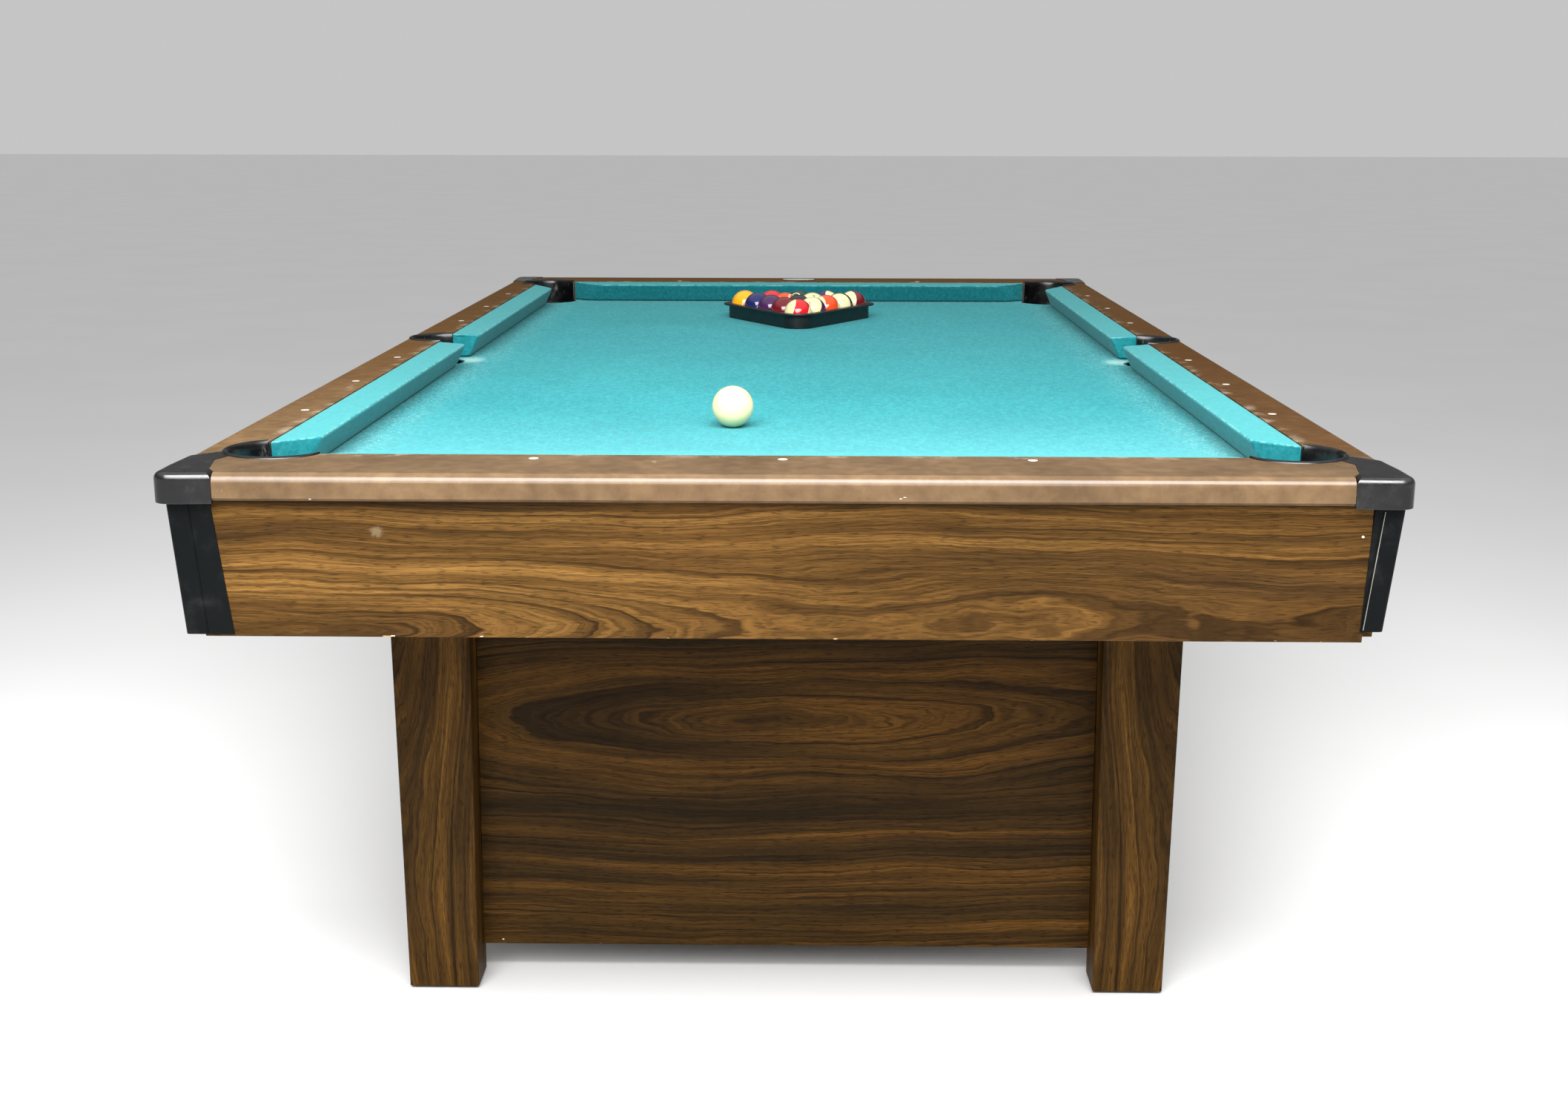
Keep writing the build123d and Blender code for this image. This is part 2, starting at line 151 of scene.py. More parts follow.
def inset(points, by):
    """Moves a closed 2D outline inwards by a distance (or outwards if it is negative)."""
    area = sum(p.x * q.y - q.x * p.y for p, q in zip(points, points[1:] + points[:1]))
    sign, out = (1 if area > 0 else -1), []
    for i, p in enumerate(points):
        a = (p - points[i - 1]).normalized()
        b = (points[(i + 1) % len(points)] - p).normalized()
        normal = Vector((-(a + b).y, (a + b).x)).normalized() * sign
        out.append(p + normal * by / max(0.5, normal.dot(Vector((-a.y, a.x)) * sign)))
    return out


def evaluated(obj):
    """Applies the object's modifiers to its mesh."""
    graph = bpy.context.evaluated_depsgraph_get()
    mesh = bpy.data.meshes.new_from_object(obj.evaluated_get(graph))
    obj.modifiers.clear()
    obj.data = mesh


def circle(r, count, x=0.0, y=0.0):
    """Points round a circle, as (x, y)."""
    return [(x + r * cos(2 * pi * i / count), y + r * sin(2 * pi * i / count)) for i in range(count)]


def revolve(bm, centre, profile, count):
    """Closed solid of revolution about a vertical axis. profile is (radius, z), ends near the axis."""
    skin(bm, [[V(x, y, z) for x, y in circle(r, count, *centre)] for r, z in profile])


# Angles in degrees: facets flatter than FLAT are merged, edges sharper than SHARP are rounded
FLAT, SHARP = 0.4, 28


def from_cad(node, material, bevel):
    """A refined copy of a CAD node: welded, its flat facets merged and its edges rounded by a bevel
    in millimetres."""
    bm = bmesh.new()
    bm.from_mesh(nodes[node].data)
    bmesh.ops.remove_doubles(bm, verts=bm.verts, dist=1e-6)
    bmesh.ops.dissolve_limit(bm, angle_limit=radians(FLAT), verts=bm.verts, edges=bm.edges)
    obj = piece(node + "_finished", bm, material, nodes[node]["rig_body"], node, SLOTS[node], SHARP)
    m = obj.modifiers.new("bevel", "BEVEL")
    m.width, m.segments, m.limit_method = bevel * 0.001, 2, "ANGLE"
    m.angle_limit, m.harden_normals, m.miter_outer = radians(SHARP), True, "MITER_ARC"
    m = obj.modifiers.new("normals", "WEIGHTED_NORMAL")
    m.keep_sharp = True
    evaluated(obj)


# ---------------------------------------------------------------- material helpers

def srgb(r, g, b):
    """A colour from display values of 0 to 255."""
    def linear(c):
        c /= 255.0
        return c / 12.92 if c <= 0.04045 else ((c + 0.055) / 1.055) ** 2.4
    return (linear(r), linear(g), linear(b), 1.0)


def darker(colour, by):
    return [c * by for c in colour[:3]] + [1]


class Shader:
    """A node material. Each method from add onwards adds nodes and returns the last one's output."""

    def __init__(self, name, **fixed):
        self.mat = bpy.data.materials.new(name)
        self.mat.use_nodes = True
        self.tree = self.mat.node_tree
        self.tree.nodes.clear()
        self.out = self.tree.nodes.new("ShaderNodeOutputMaterial")
        self.bsdf = self.tree.nodes.new("ShaderNodeBsdfPrincipled")
        self.tree.links.new(self.bsdf.outputs[0], self.out.inputs[0])
        for key, value in fixed.items():
            self.set(key, value)
        self.place = self.add("TexCoord", {}, "Object")

    def set(self, key, value):
        self.feed(self.bsdf.inputs[key.replace("_", " ")], value)

    def feed(self, socket, value):
        if isinstance(value, bpy.types.NodeSocket):
            self.tree.links.new(value, socket)
        else:
            socket.default_value = value

    def bump(self, height, strength, distance):
        ins = {"Height": height, "Strength": strength, "Distance": distance}
        self.set("Normal", self.add("Bump", ins))

    def add(self, kind, ins, out=0, **props):
        node = self.tree.nodes.new("ShaderNode" + kind)
        for key, value in props.items():
            setattr(node, key, value)
        for key, value in ins.items():
            self.feed(node.inputs[key], value)
        return node.outputs[out]

    def mapped(self, scale, loc=(0, 0, 0)):
        return self.add("Mapping", {"Vector": self.place, "Scale": scale, "Location": loc})

    def noise(self, vector, scale, detail=2.0, rough=0.5, distort=0.0):
        return self.add("TexNoise", {"Vector": vector, "Scale": scale, "Detail": detail,
                                     "Roughness": rough, "Distortion": distort})

    def ramp(self, fac, stops):
        node = self.tree.nodes.new("ShaderNodeValToRGB")
        for i, (at, colour) in enumerate(stops):
            e = node.color_ramp.elements[i] if i < 2 else node.color_ramp.elements.new(at)
            e.position, e.color = at, colour if len(colour) == 4 else (*colour, 1)
        self.feed(node.inputs[0], fac)
        return node.outputs[0]

    def greys(self, fac, low, first, high, last):
        """A ramp from one grey at low to another at high."""
        return self.ramp(fac, [(low, (first,) * 3), (high, (last,) * 3)])

    def step(self, fac, low, high):
        """0 at low and 1 at high, smooth between and level beyond. low may be the larger."""
        return self.add("MapRange", {"Value": fac, "From Min": low, "From Max": high},
                        interpolation_type="SMOOTHSTEP")

    def mix(self, fac, a, b, blend="MIX"):
        return self.add("Mix", {0: fac, 6: a, 7: b}, 2, data_type="RGBA", blend_type=blend)

    def paint(self, colour, mask, weight, over):
        """Lays one colour over another by a mask, with at most the given weight."""
        return self.mix(self.times(mask, weight), colour, over)

    def shade(self, colour, weight, fac, low, first, high, last):
        """Darkens and lightens a colour by a ramp of greys."""
        return self.mix(weight, colour, self.greys(fac, low, first, high, last), "OVERLAY")

    def math(self, op, a, b=0.0):
        return self.add("Math", {0: a, 1: b}, operation=op)

    def plus(self, a, b):
        return self.math("ADD", a, b)

    def minus(self, a, b):
        return self.math("SUBTRACT", a, b)

    def times(self, a, b):
        return self.math("MULTIPLY", a, b)

    def size(self, a):
        return self.math("ABSOLUTE", a)

    def away(self, vector, point):
        return self.add("VectorMath", {0: vector, 1: point}, 1, operation="DISTANCE")

    def axes(self, vector=None):
        node = self.tree.nodes.new("ShaderNodeSeparateXYZ")
        self.feed(node.inputs[0], vector or self.place)
        return node.outputs

    def join(self, x, y, z):
        return self.add("CombineXYZ", {0: x, 1: y, 2: z})


RINGS_PER_METRE, ARCH_DEPTH, HEART_DEPTH = 88.0, 0.085, 0.004


def walnut(name, grain, tones, seed, heart, edge, low_edge=None, smudge=None):
    """Printed flat-sawn walnut. Growth rings run along the grain axis (0, 1 or 2) about a heart line,
    where they open into long pointed arches, and darken towards a thin late line. heart is the line's
    place across the main face, and edge how far out from the middle that face lies. low_edge is the
    height of a chipped lower edge, and smudge the place of a pale rub mark."""
    s = Shader(name, IOR=1.45, Specular_IOR_Level=0.08)
    dark, mid, light = tones
    x, y, z = s.axes()
    along, across, through = [(x, z, y), (y, z, x), (z, s.size(x), y)][grain]
    u = s.plus(along, seed * 1.37)
    v = s.plus(s.minus(across, heart), s.times(s.minus(s.size(through), edge), 0.8))

    def streaks(along_scale, other, other_scale, offset, detail, rough):
        """Noise with its own scales along the grain and along another measure."""
        place = s.join(s.times(u, along_scale), s.times(other, other_scale), seed + offset)
        return s.noise(place, 1.0, detail, rough)

    sway = streaks(1.3, v, 3.0, 0.0, 2.0, 0.45)
    ripple = streaks(6.0, v, 22.0, 3.0, 3.0, 0.55)
    arch = s.step(streaks(0.95, v, 1.2, 4.0, 1.0, 0.4), 0.25, 0.75)
    high = s.plus(v, s.times(s.minus(sway, 0.5), 0.1))
    deep = s.plus(s.times(arch, ARCH_DEPTH), HEART_DEPTH)
    radius = s.math("SQRT", s.plus(s.times(high, high), s.times(deep, deep)))
    rings = s.plus(radius, s.times(ripple, 0.018))
    warp = streaks(0.3, rings, 16.0, 6.0, 2.0, 0.5)
    count = s.plus(s.times(rings, RINGS_PER_METRE), s.times(warp, 5.0))
    ring = s.math("FRACT", count)
    strength = streaks(1.6, s.math("FLOOR", count), 1.0, 1.0, 1.0, 0.5)
    late = s.times(s.math("POWER", ring, 4.0), s.step(ring, 1.0, 0.94))

    wide = streaks(0.9, rings, 34.0, 9.0, 3.0, 0.6)
    colour = s.ramp(wide, [(0.33, dark), (0.5, mid), (0.67, light)])
    line = darker(dark, 0.36)
    colour = s.mix(s.times(late, s.step(strength, 0.36, 0.6)), colour, line)
    fine = streaks(2.4, rings, 230.0, 5.0, 3.0, 0.6)
    bands = s.ramp(fine, [(0.36, (0.23, 0.22, 0.21)), (0.64, (0.77, 0.77, 0.75))])
    colour = s.mix(0.55, colour, bands, "OVERLAY")
    fibre = streaks(14.0, rings, 800.0, 0.0, 3.0, 0.6)
    threads = s.ramp(fibre, [(0.36, (0.23, 0.22, 0.2)), (0.64, (0.78, 0.76, 0.71))])
    colour = s.mix(0.6, colour, threads, "OVERLAY")
    pores = streaks(60.0, v, 800.0, 2.0, 1.0, 0.5)
    colour = s.paint(colour, s.step(pores, 0.56, 0.66), 0.6, line)
    blotch = s.ramp(s.noise(s.place, 3.1, 2.0, 0.5), [(0.35, (0.34, 0.36, 0.36)), (0.65, (0.66, 0.64, 0.64))])
    colour = s.mix(0.35, colour, blotch, "OVERLAY")
    if low_edge:
        chips = s.noise(s.mapped((45, 45, 45), (seed, 2, 3)), 1.0, 2.0, 0.6)
        chipped = s.times(s.step(z, low_edge + 0.0024, low_edge + 0.0004), s.step(chips, 0.66, 0.71))
        colour = s.mix(chipped, colour, srgb(196, 160, 112))
    if smudge:
        rub = s.noise(s.place, 240.0, 3.0, 0.6)
        mark = s.step(s.plus(s.away(s.place, smudge), s.times(rub, 0.012)), 0.0145, 0.0085)
        colour = s.paint(colour, mark, 0.5, srgb(126, 112, 88))
    s.set("Base Color", colour)
    s.set("Roughness", s.greys(fibre, 0.3, 0.56, 0.7, 0.42))
    s.bump(s.plus(fibre, s.times(pores, -0.8)), 0.14, 0.0004)
    return s.mat


def rail_laminate():
    """Brown rail covering with soft clouds, a fine pebble, a few pale scuffs and chalk beside the cushions. It
    is paler and glossier at the head, warmer brown towards the foot, and darkest along the right side near the
    head."""
    s = Shader("rail_laminate", IOR=1.5, Specular_IOR_Level=0.0, Coat_Roughness=0.18)
    x, y = s.axes()[:2]
    soft = s.noise(s.place, 9.0, 3.0, 0.5, 0.4)
    cloud = s.noise(s.place, 55.0, 3.0, 0.55)
    fine = s.noise(s.place, 700.0, 2.0, 0.6)
    leather = s.noise(s.place, 1500.0, 2.0, 0.6)
    tone = s.plus(s.times(soft, 0.5), s.times(cloud, 0.5))
    colour = s.ramp(tone, [(0.35, srgb(86, 67, 46)), (0.5, srgb(98, 77, 54)), (0.65, srgb(112, 89, 64))])
    # Paler at the head and warmer brown towards the foot
    colour = s.paint(colour, s.step(y, -1.15, 0.1), 0.7, srgb(96, 66, 34))
    right = s.times(s.step(x, 0.52, 0.62), s.times(s.step(y, -1.18, -1.14), s.step(y, 0.8, -0.3)))
    colour = s.paint(colour, right, 0.55, srgb(62, 36, 14))
    colour = s.shade(colour, 0.13, fine, 0.35, 0.32, 0.65, 0.68)
    scuff = s.noise(s.mapped((26, 9, 26), (3, 1, 2)), 1.0, 4.0, 0.7)
    colour = s.paint(colour, s.step(scuff, 0.68, 0.76), 0.2, srgb(196, 168, 138))
    beside = s.math("MINIMUM", s.step(s.size(y), 1.19, 1.166), s.step(s.size(x), 0.626, 0.607))
    drift = s.step(s.noise(s.place, 24.0, 4.0, 0.7), 0.48, 0.68)
    colour = s.paint(colour, s.times(beside, drift), 0.4, srgb(176, 164, 146))
    s.set("Base Color", colour)
    s.set("Roughness", s.greys(fine, 0.35, 0.32, 0.7, 0.39))
    s.set("Coat Weight", s.plus(s.times(s.step(y, -1.1, -1.2), 0.72), 0.08))
    s.bump(leather, 0.05, 0.0002)
    return s.mat


def bed_wear(s, colour):
    """A head end painted paler, partly wear and partly painted light for the brighter near end, chalk lint
    along the cushions, patches of wear at the side pockets and specks.
    """
    x, y = s.axes()[:2]
    # Painted light, partly wear: the head end is paled as if more brightly lit
    colour = s.paint(colour, s.step(y, -0.45, -1.1), 0.3, srgb(120, 176, 180))
    near = s.math("MAXIMUM", s.step(s.size(x), 0.46, 0.55), s.step(s.size(y), 1.04, 1.115))
    lint = s.noise(s.place, 260.0, 3.0, 0.8)
    dust = s.times(s.math("POWER", near, 2.0), s.step(lint, 0.54, 0.66))
    colour = s.paint(colour, dust, 0.55, srgb(196, 218, 210))
    folded = s.join(s.size(x), s.times(y, 0.6), 0.0)
    wear = s.step(s.away(folded, (0.566, 0.012, 0.0)), 0.032, 0.008)
    colour = s.paint(colour, wear, 0.5, srgb(186, 216, 206))
    specks = s.noise(s.place, 900.0, 0.0, 0.5)
    return s.paint(colour, s.step(specks, 0.8, 0.83), 0.7, srgb(225, 235, 225))


def cushion_wear(s, colour):
    """A top painted paler as painted light from above, a rubbed nose, chalk grit and a dark painted shade line
    along the foot.
    """
    z = s.axes()[2]
    up = s.axes(s.add("NewGeometry", {}, "Normal"))[2]
    colour = s.mix(0.34, colour, srgb(14, 82, 88))
    # Painted light: faces that point up are paled, as if lit from above
    colour = s.paint(colour, s.step(up, 0.35, 0.93), 0.32, srgb(104, 182, 182))
    nose = s.times(s.step(up, 0.15, 0.5), s.step(up, 0.97, 0.7))
    rub = s.step(s.noise(s.place, 70.0, 4.0, 0.7), 0.4, 0.62)
    colour = s.paint(colour, s.times(nose, rub), 0.28, srgb(168, 224, 218))
    grit = s.noise(s.place, 420.0, 3.0, 0.75)
    colour = s.paint(colour, s.step(grit, 0.64, 0.74), 0.25, srgb(196, 222, 214))
    # Painted shade: the lowest few millimetres of the cushion, in the crease under the nose, are darkened
    return s.paint(colour, s.step(z, 0.7495, 0.7452), 0.6, srgb(8, 66, 74))


def cloth(name, wear):
    """Napped table cloth, with wear and chalk dust where balls and cues leave them, and painted light: a paler
    head end on the bed, paler cushion tops and a painted shade line along the cushions' foot.
    """
    s = Shader(name, Roughness=0.9, IOR=1.35, Specular_IOR_Level=0.1, Sheen_Weight=0.3,
               Sheen_Roughness=0.45, Sheen_Tint=srgb(150, 225, 225))
    broad = s.noise(s.place, 2.6, 3.0, 0.6)
    pile = s.noise(s.mapped((1, 0.6, 1)), 150.0, 4.0, 0.75)
    weave = s.noise(s.place, 1300.0, 2.0, 0.6)
    tone = s.plus(s.times(broad, 0.22), s.times(pile, 0.78))
    colour = s.ramp(tone, [(0.36, srgb(22, 113, 120)), (0.5, srgb(34, 130, 137)), (0.64, srgb(48, 148, 155))])
    colour = s.shade(colour, 0.3, weave, 0.3, 0.3, 0.7, 0.7)
    s.set("Base Color", wear(s, colour))
    s.bump(s.plus(pile, s.times(weave, 0.5)), 0.2, 0.0004)
    return s.mat


def black_plastic(name, shade, rough, scuffs=0.0, level=0.5, pebble=0.03):
    """Moulded black plastic with a slight grain, dust and, near the rail's height, grey scuffs."""
    s = Shader(name, IOR=1.5, Specular_IOR_Level=level)
    dust = s.noise(s.place, 38.0, 4.0, 0.65)
    fine = s.noise(s.place, 700.0, 2.0, 0.5)
    colour = s.paint(srgb(*shade), s.step(dust, 0.5, 0.8), 0.15, srgb(74, 74, 72))
    if scuffs:
        rub = s.noise(s.mapped((60, 60, 16)), 1.0, 5.0, 0.75, 0.8)
        z = s.axes()[2]
        where = s.times(s.step(z, 0.735, 0.752), s.step(z, 0.7865, 0.78))
        colour = s.paint(colour, s.times(s.step(rub, 0.57, 0.7), where), scuffs, srgb(150, 152, 148))
    s.set("Base Color", colour)
    s.set("Roughness", s.greys(dust, 0.35, rough, 0.75, rough + 0.18))
    s.bump(fine, pebble, 0.0003)
    return s.mat


def ball_material(name, colour, stripe=False):
    """Polished resin. A stripe ball has cream poles and a coloured belt about its own Z axis."""
    s = Shader(name, Roughness=0.07, IOR=1.55, Specular_IOR_Level=0.55, Coat_Weight=0.15,
               Coat_Roughness=0.05)
    cloud = s.noise(s.place, 60.0, 3.0, 0.5)
    body = s.shade(colour, 0.12, cloud, 0.35, 0.35, 0.65, 0.65)
    if stripe:
        cream = s.shade(srgb(233, 221, 170), 0.15, cloud, 0.3, 0.35, 0.7, 0.65)
        body = s.mix(s.step(s.size(s.axes()[2]), 0.01425, 0.0144), body, cream)
    s.set("Base Color", body)
    s.set("Roughness", s.greys(s.noise(s.mapped((1, 3, 1)), 300.0, 3.0, 0.7), 0.5, 0.06, 0.8, 0.2))
    return s.mat


def timber():
    s = Shader("bare_timber", Roughness=0.75, Specular_IOR_Level=0.25)
    rings = s.noise(s.mapped((30, 1.5, 30)), 1.0, 3.0, 0.55, 0.8)
    fibre = s.noise(s.mapped((500, 30, 500)), 1.0, 2.0, 0.5)
    colour = s.ramp(rings, [(0.35, srgb(158, 118, 74)), (0.65, srgb(206, 172, 122))])
    s.set("Base Color", s.shade(colour, 0.3, fibre, 0.3, 0.3, 0.7, 0.7))
    s.bump(fibre, 0.2, 0.0005)
    return s.mat


def stone():
    s = Shader("honed_slate", Roughness=0.7, Specular_IOR_Level=0.4)
    layers = s.noise(s.mapped((4, 4, 90)), 1.0, 4.0, 0.6, 0.5)
    grit = s.noise(s.place, 600.0, 3.0, 0.6)
    colour = s.ramp(layers, [(0.3, srgb(66, 70, 76)), (0.7, srgb(104, 108, 112))])
    s.set("Base Color", s.shade(colour, 0.3, grit, 0.3, 0.3, 0.7, 0.7))
    s.bump(grit, 0.3, 0.0004)
    return s.mat


def metal(name, tone, rough):
    s = Shader(name, Metallic=1.0)
    wear = s.noise(s.place, 220.0, 4.0, 0.7)
    s.set("Base Color", s.mix(s.step(wear, 0.45, 0.75), tone, darker(tone, 0.55)))
    s.set("Roughness", s.greys(wear, 0.35, rough, 0.7, rough + 0.25))
    s.bump(wear, 0.1, 0.0002)
    return s.mat


def pearl(name, low, high):
    s = Shader(name, Roughness=0.22, IOR=1.55, Specular_IOR_Level=0.6, Coat_Weight=0.4, Coat_Roughness=0.1)
    cloud = s.noise(s.place, 420.0, 3.0, 0.6, 1.0)
    s.set("Base Color", s.ramp(cloud, [(0.35, low), (0.65, high)]))
    return s.mat


# ---------------------------------------------------------------- materials

# Dark, middle and light tones of each walnut print
APRON_TONES = srgb(58, 40, 19), srgb(84, 59, 27), srgb(110, 80, 40)
LEG_TONES = srgb(46, 31, 10), srgb(72, 49, 17), srgb(100, 70, 28)
PANEL_TONES = srgb(36, 25, 7), srgb(56, 38, 12), srgb(82, 55, 19)
APRON_WOOD = walnut("walnut_print_ends", 0, APRON_TONES, 4.0, 0.605, 1.276, 0.6, (-0.4387, -1.2792, 0.7208))
SIDE_WOOD = walnut("walnut_print_sides", 1, APRON_TONES, 7.0, 0.7, 0.658, 0.6)
LEG_WOOD = walnut("walnut_legs", 2, LEG_TONES, 2.0, 0.535, 0.905)
PANEL_WOOD = walnut("walnut_panels", 0, PANEL_TONES, 11.0, 0.38, 0.859, 0.046)
RAIL = rail_laminate()
BED_CLOTH, CUSHION_CLOTH = cloth("table_cloth", bed_wear), cloth("cushion_cloth", cushion_wear)
LINER = black_plastic("pocket_plastic", (9, 9, 10), 0.2, scuffs=0.35)
CAP = black_plastic("cap_plastic", (17, 17, 18), 0.17, level=0.8, pebble=0.01)
TRIM = black_plastic("trim_plastic", (9, 12, 13), 0.42, level=0.1, pebble=0.08)
# A pale strip along the loose moulding's bead: a painted highlight
BEAD_HIGHLIGHT = black_plastic("painted_highlight_edge", (128, 124, 116), 0.5)
RACK = black_plastic("rack_plastic", (13, 14, 15), 0.36, pebble=0.08)
TIMBER, SLATE = timber(), stone()
STEEL = metal("leveller_steel", (0.55, 0.55, 0.54, 1), 0.32)
ZINC = metal("bolt_zinc", (0.5, 0.5, 0.5, 1), 0.4)
SIGHT = pearl("sight_pearl", srgb(206, 200, 184), srgb(238, 234, 222))
PLATE = pearl("plate_white", srgb(222, 220, 212), srgb(240, 239, 234))
PLATE_EDGE = black_plastic("plate_edge", (40, 40, 42), 0.4)
FLECK = pearl("fleck_paint", srgb(196, 176, 146), srgb(232, 222, 202))
CUE_RESIN = ball_material("cue_ball_resin", srgb(226, 215, 162))
INK_DARK = ball_material("number_dark", srgb(24, 22, 24))
INK_CREAM = ball_material("number_cream", srgb(236, 228, 190))


# ---------------------------------------------------------------- cushions and cloth

# Section as (distance from the rail, height above the bed), and the radius of each corner
CUSHION_SECTION = [(0.9, 1.0), (29.5, 1.0), (46.9, 36.0), (44.0, 39.0), (1.2, 41.6), (0.4, 39.8)]
CUSHION_RADII = [0, 3.0, 3.4, 4.0, 1.2, 0]
CUSHION_D, CUSHION_CORE, CUSHION_END_R = 47.2, Vector((22.0, 22.0)), 3.2
# How far a cushion's ends lie from the nose line or the middle, at the rail and at the nose
CORNER_CUT, SIDE_CUT = (32.1, 94.5), (58.5, 66.0)
# Rows follow the cut end over MITRE millimetres, then turn square over TURN, and stand ROW apart
MITRE, TURN, ROW = 80, 10, 8
CLOTH_GAP, CLOTH_SINK, BUTT_EDGE = 0.3, 0.25, 4


def cushion_rows(length):
    """Rows along a cushion as (distance, inset of the section), closer and rounded at the ends."""
    r = CUSHION_END_R
    turns = [radians(a) for a in (0, 22, 45, 68, 90)]
    ends = [(r * (1 - cos(t)), r * (1 - sin(t))) for t in turns]
    ends += [(r + d, 0.0) for d in (4, 8, 12, 17, 22, 28, 36, 46, 60, MITRE)]
    straight = length - 2 * MITRE
    count = int(straight // ROW)
    middle = [(MITRE + r + (straight - 2 * r) * i / count, 0.0) for i in range(1, count)]
    return ends + middle + [(length - along, shrink) for along, shrink in reversed(ends)]


def cushion(name, node, place, low, high):
    """A cushion under tight cloth, puckered towards its ends. place(s, d, z) puts a point of the
    section. low and high are where its ends lie, each at the rail and at the nose."""
    section = divide(fillet(CUSHION_SECTION, CUSHION_RADII, 6), 3.5)
    length = high[0] - low[0]
    seed = sum(map(ord, name)) % 50
    rows = []
    for along, shrink in cushion_rows(length):
        end = min(along, length - along)
        square = min(1.0, max(0.0, (end - MITRE) / TURN))
        row = []
        for p in inset(section, shrink) if shrink else section:
            t = along / length
            lo, hi = [cut[0] + (cut[1] - cut[0]) * p.x / CUSHION_D for cut in (low, high)]
            mitred = lo + along if t < 0.5 else hi - (length - along)
            s = mitred * (1 - square) + (lo + (hi - lo) * t) * square
            pucker = 0.55 * exp(-end / 26.0) * noise.noise(Vector((p.x * 0.16, p.y * 0.16 + seed, s * 0.05)))
            soft = 0.1 * noise.noise(Vector((s * 0.006, p.y * 0.1, p.x * 0.1 + seed)))
            lift = (pucker + soft if p.x > BUTT_EDGE else 0.0) - CLOTH_SINK
            out = (p - CUSHION_CORE).normalized()
            row.append(place(s, p.x + out.x * lift, p.y + out.y * lift))
        rows.append(row)
    bm = bmesh.new()
    skin(bm, rows)
    obj = piece(name, bm, CUSHION_CLOTH, "table", node, "cushion_cloth", 50)


def cushions():
    for q, (sx, sy) in QUARTERS.items():
        def place(s, d, z, sx=sx, sy=sy):
            return V(sx * (RAIL_IN_X - CLOTH_GAP - d), sy * s, CLOTH_Z + z)
        cushion("cushion_cover_" + q, "cushion_" + q, place, SIDE_CUT, [NOSE_Y - c for c in CORNER_CUT])
    for q, sy in (("head", -1), ("foot", 1)):
        def place(s, d, z, sy=sy):
            return V(s, sy * (RAIL_IN_Y - CLOTH_GAP - d), CLOTH_Z + z)
        cushion("cushion_cover_" + q, "cushion_" + q, place, [c - NOSE_X for c in CORNER_CUT],
                [NOSE_X - c for c in CORNER_CUT])


def bed_outline():
    """The cloth's outline, cut round the pockets, as one closed loop."""
    a0, b0, r = SIDE_CUP_A + 1.0, SIDE_CUP_B + 1.0, POCKET_R + 0.2
    quarter = [(SIDE_X + a0 * cos(radians(a)), b0 * sin(radians(a))) for a in range(180, 89, -6)]
    quarter += [(SLATE_X, b0)] + [(SLATE_X, y) for y in range(100, 1100, 100)]
    quarter.append((SLATE_X, POCKET_Y - THROAT))
    start, steps = -asin(THROAT / r), 36
    for k in range(steps + 1):
        a = start - (1.5 * pi + 2 * start) * k / steps
        quarter.append((POCKET_X + r * cos(a), POCKET_Y + r * sin(a)))
    quarter.append((POCKET_X - THROAT, SLATE_Y))
    quarter += [(x, SLATE_Y) for x in (450, 350, 250, 150, 50)]
    loop = [Vector(p) for p in quarter]
    loop += [Vector((-p.x, p.y)) for p in reversed(loop)]
    lower = [Vector((-p.x, -p.y)) for p in loop]
    return loop[:-1] + lower[:-1]


def bed_cloth():
    """The cloth on the bed, folded down over every edge of the slate."""
    loop, fold, rows = bed_outline(), 3.0, []
    for a in (0, 18, 36, 54, 72, 90):
        t = radians(a)
        rows.append([V(p.x, p.y, CLOTH_Z - fold * (1 - cos(t))) for p in inset(loop, fold - fold * sin(t))])
    rows += [[V(p.x, p.y, CLOTH_Z - drop) for p in loop] for drop in (9.0, 15.0)]
    bm = bmesh.new()
    top = skin(bm, rows, cap=False)[0]
    bm.faces.new(top)
    obj = piece("bed_cloth_sheet", bm, BED_CLOTH, "table", "bed_cloth", "cloth", 60)
    top = set(range(len(loop)))
    for e in obj.data.edges:
        if e.vertices[0] in top and e.vertices[1] in top:
            e.use_edge_sharp = True
    m = obj.modifiers.new("thickness", "SOLIDIFY")
    m.thickness, m.offset = 0.0008, -1
    evaluated(obj)
    area = abs(sum(p.x * q.y - q.x * p.y for p, q in zip(loop, loop[1:] + loop[:1]))) / 2e6


# ---------------------------------------------------------------- pockets

# At a cup's mouth, which faces the field, the wall and rim sink to just under the cloth. The wall
# drops over RAMP degrees, and the rim grows slim over the SLIM degrees before that.
MOUTH_Z, RAMP, SLIM, SLIMMEST = 742.6, 3, 42, 0.25


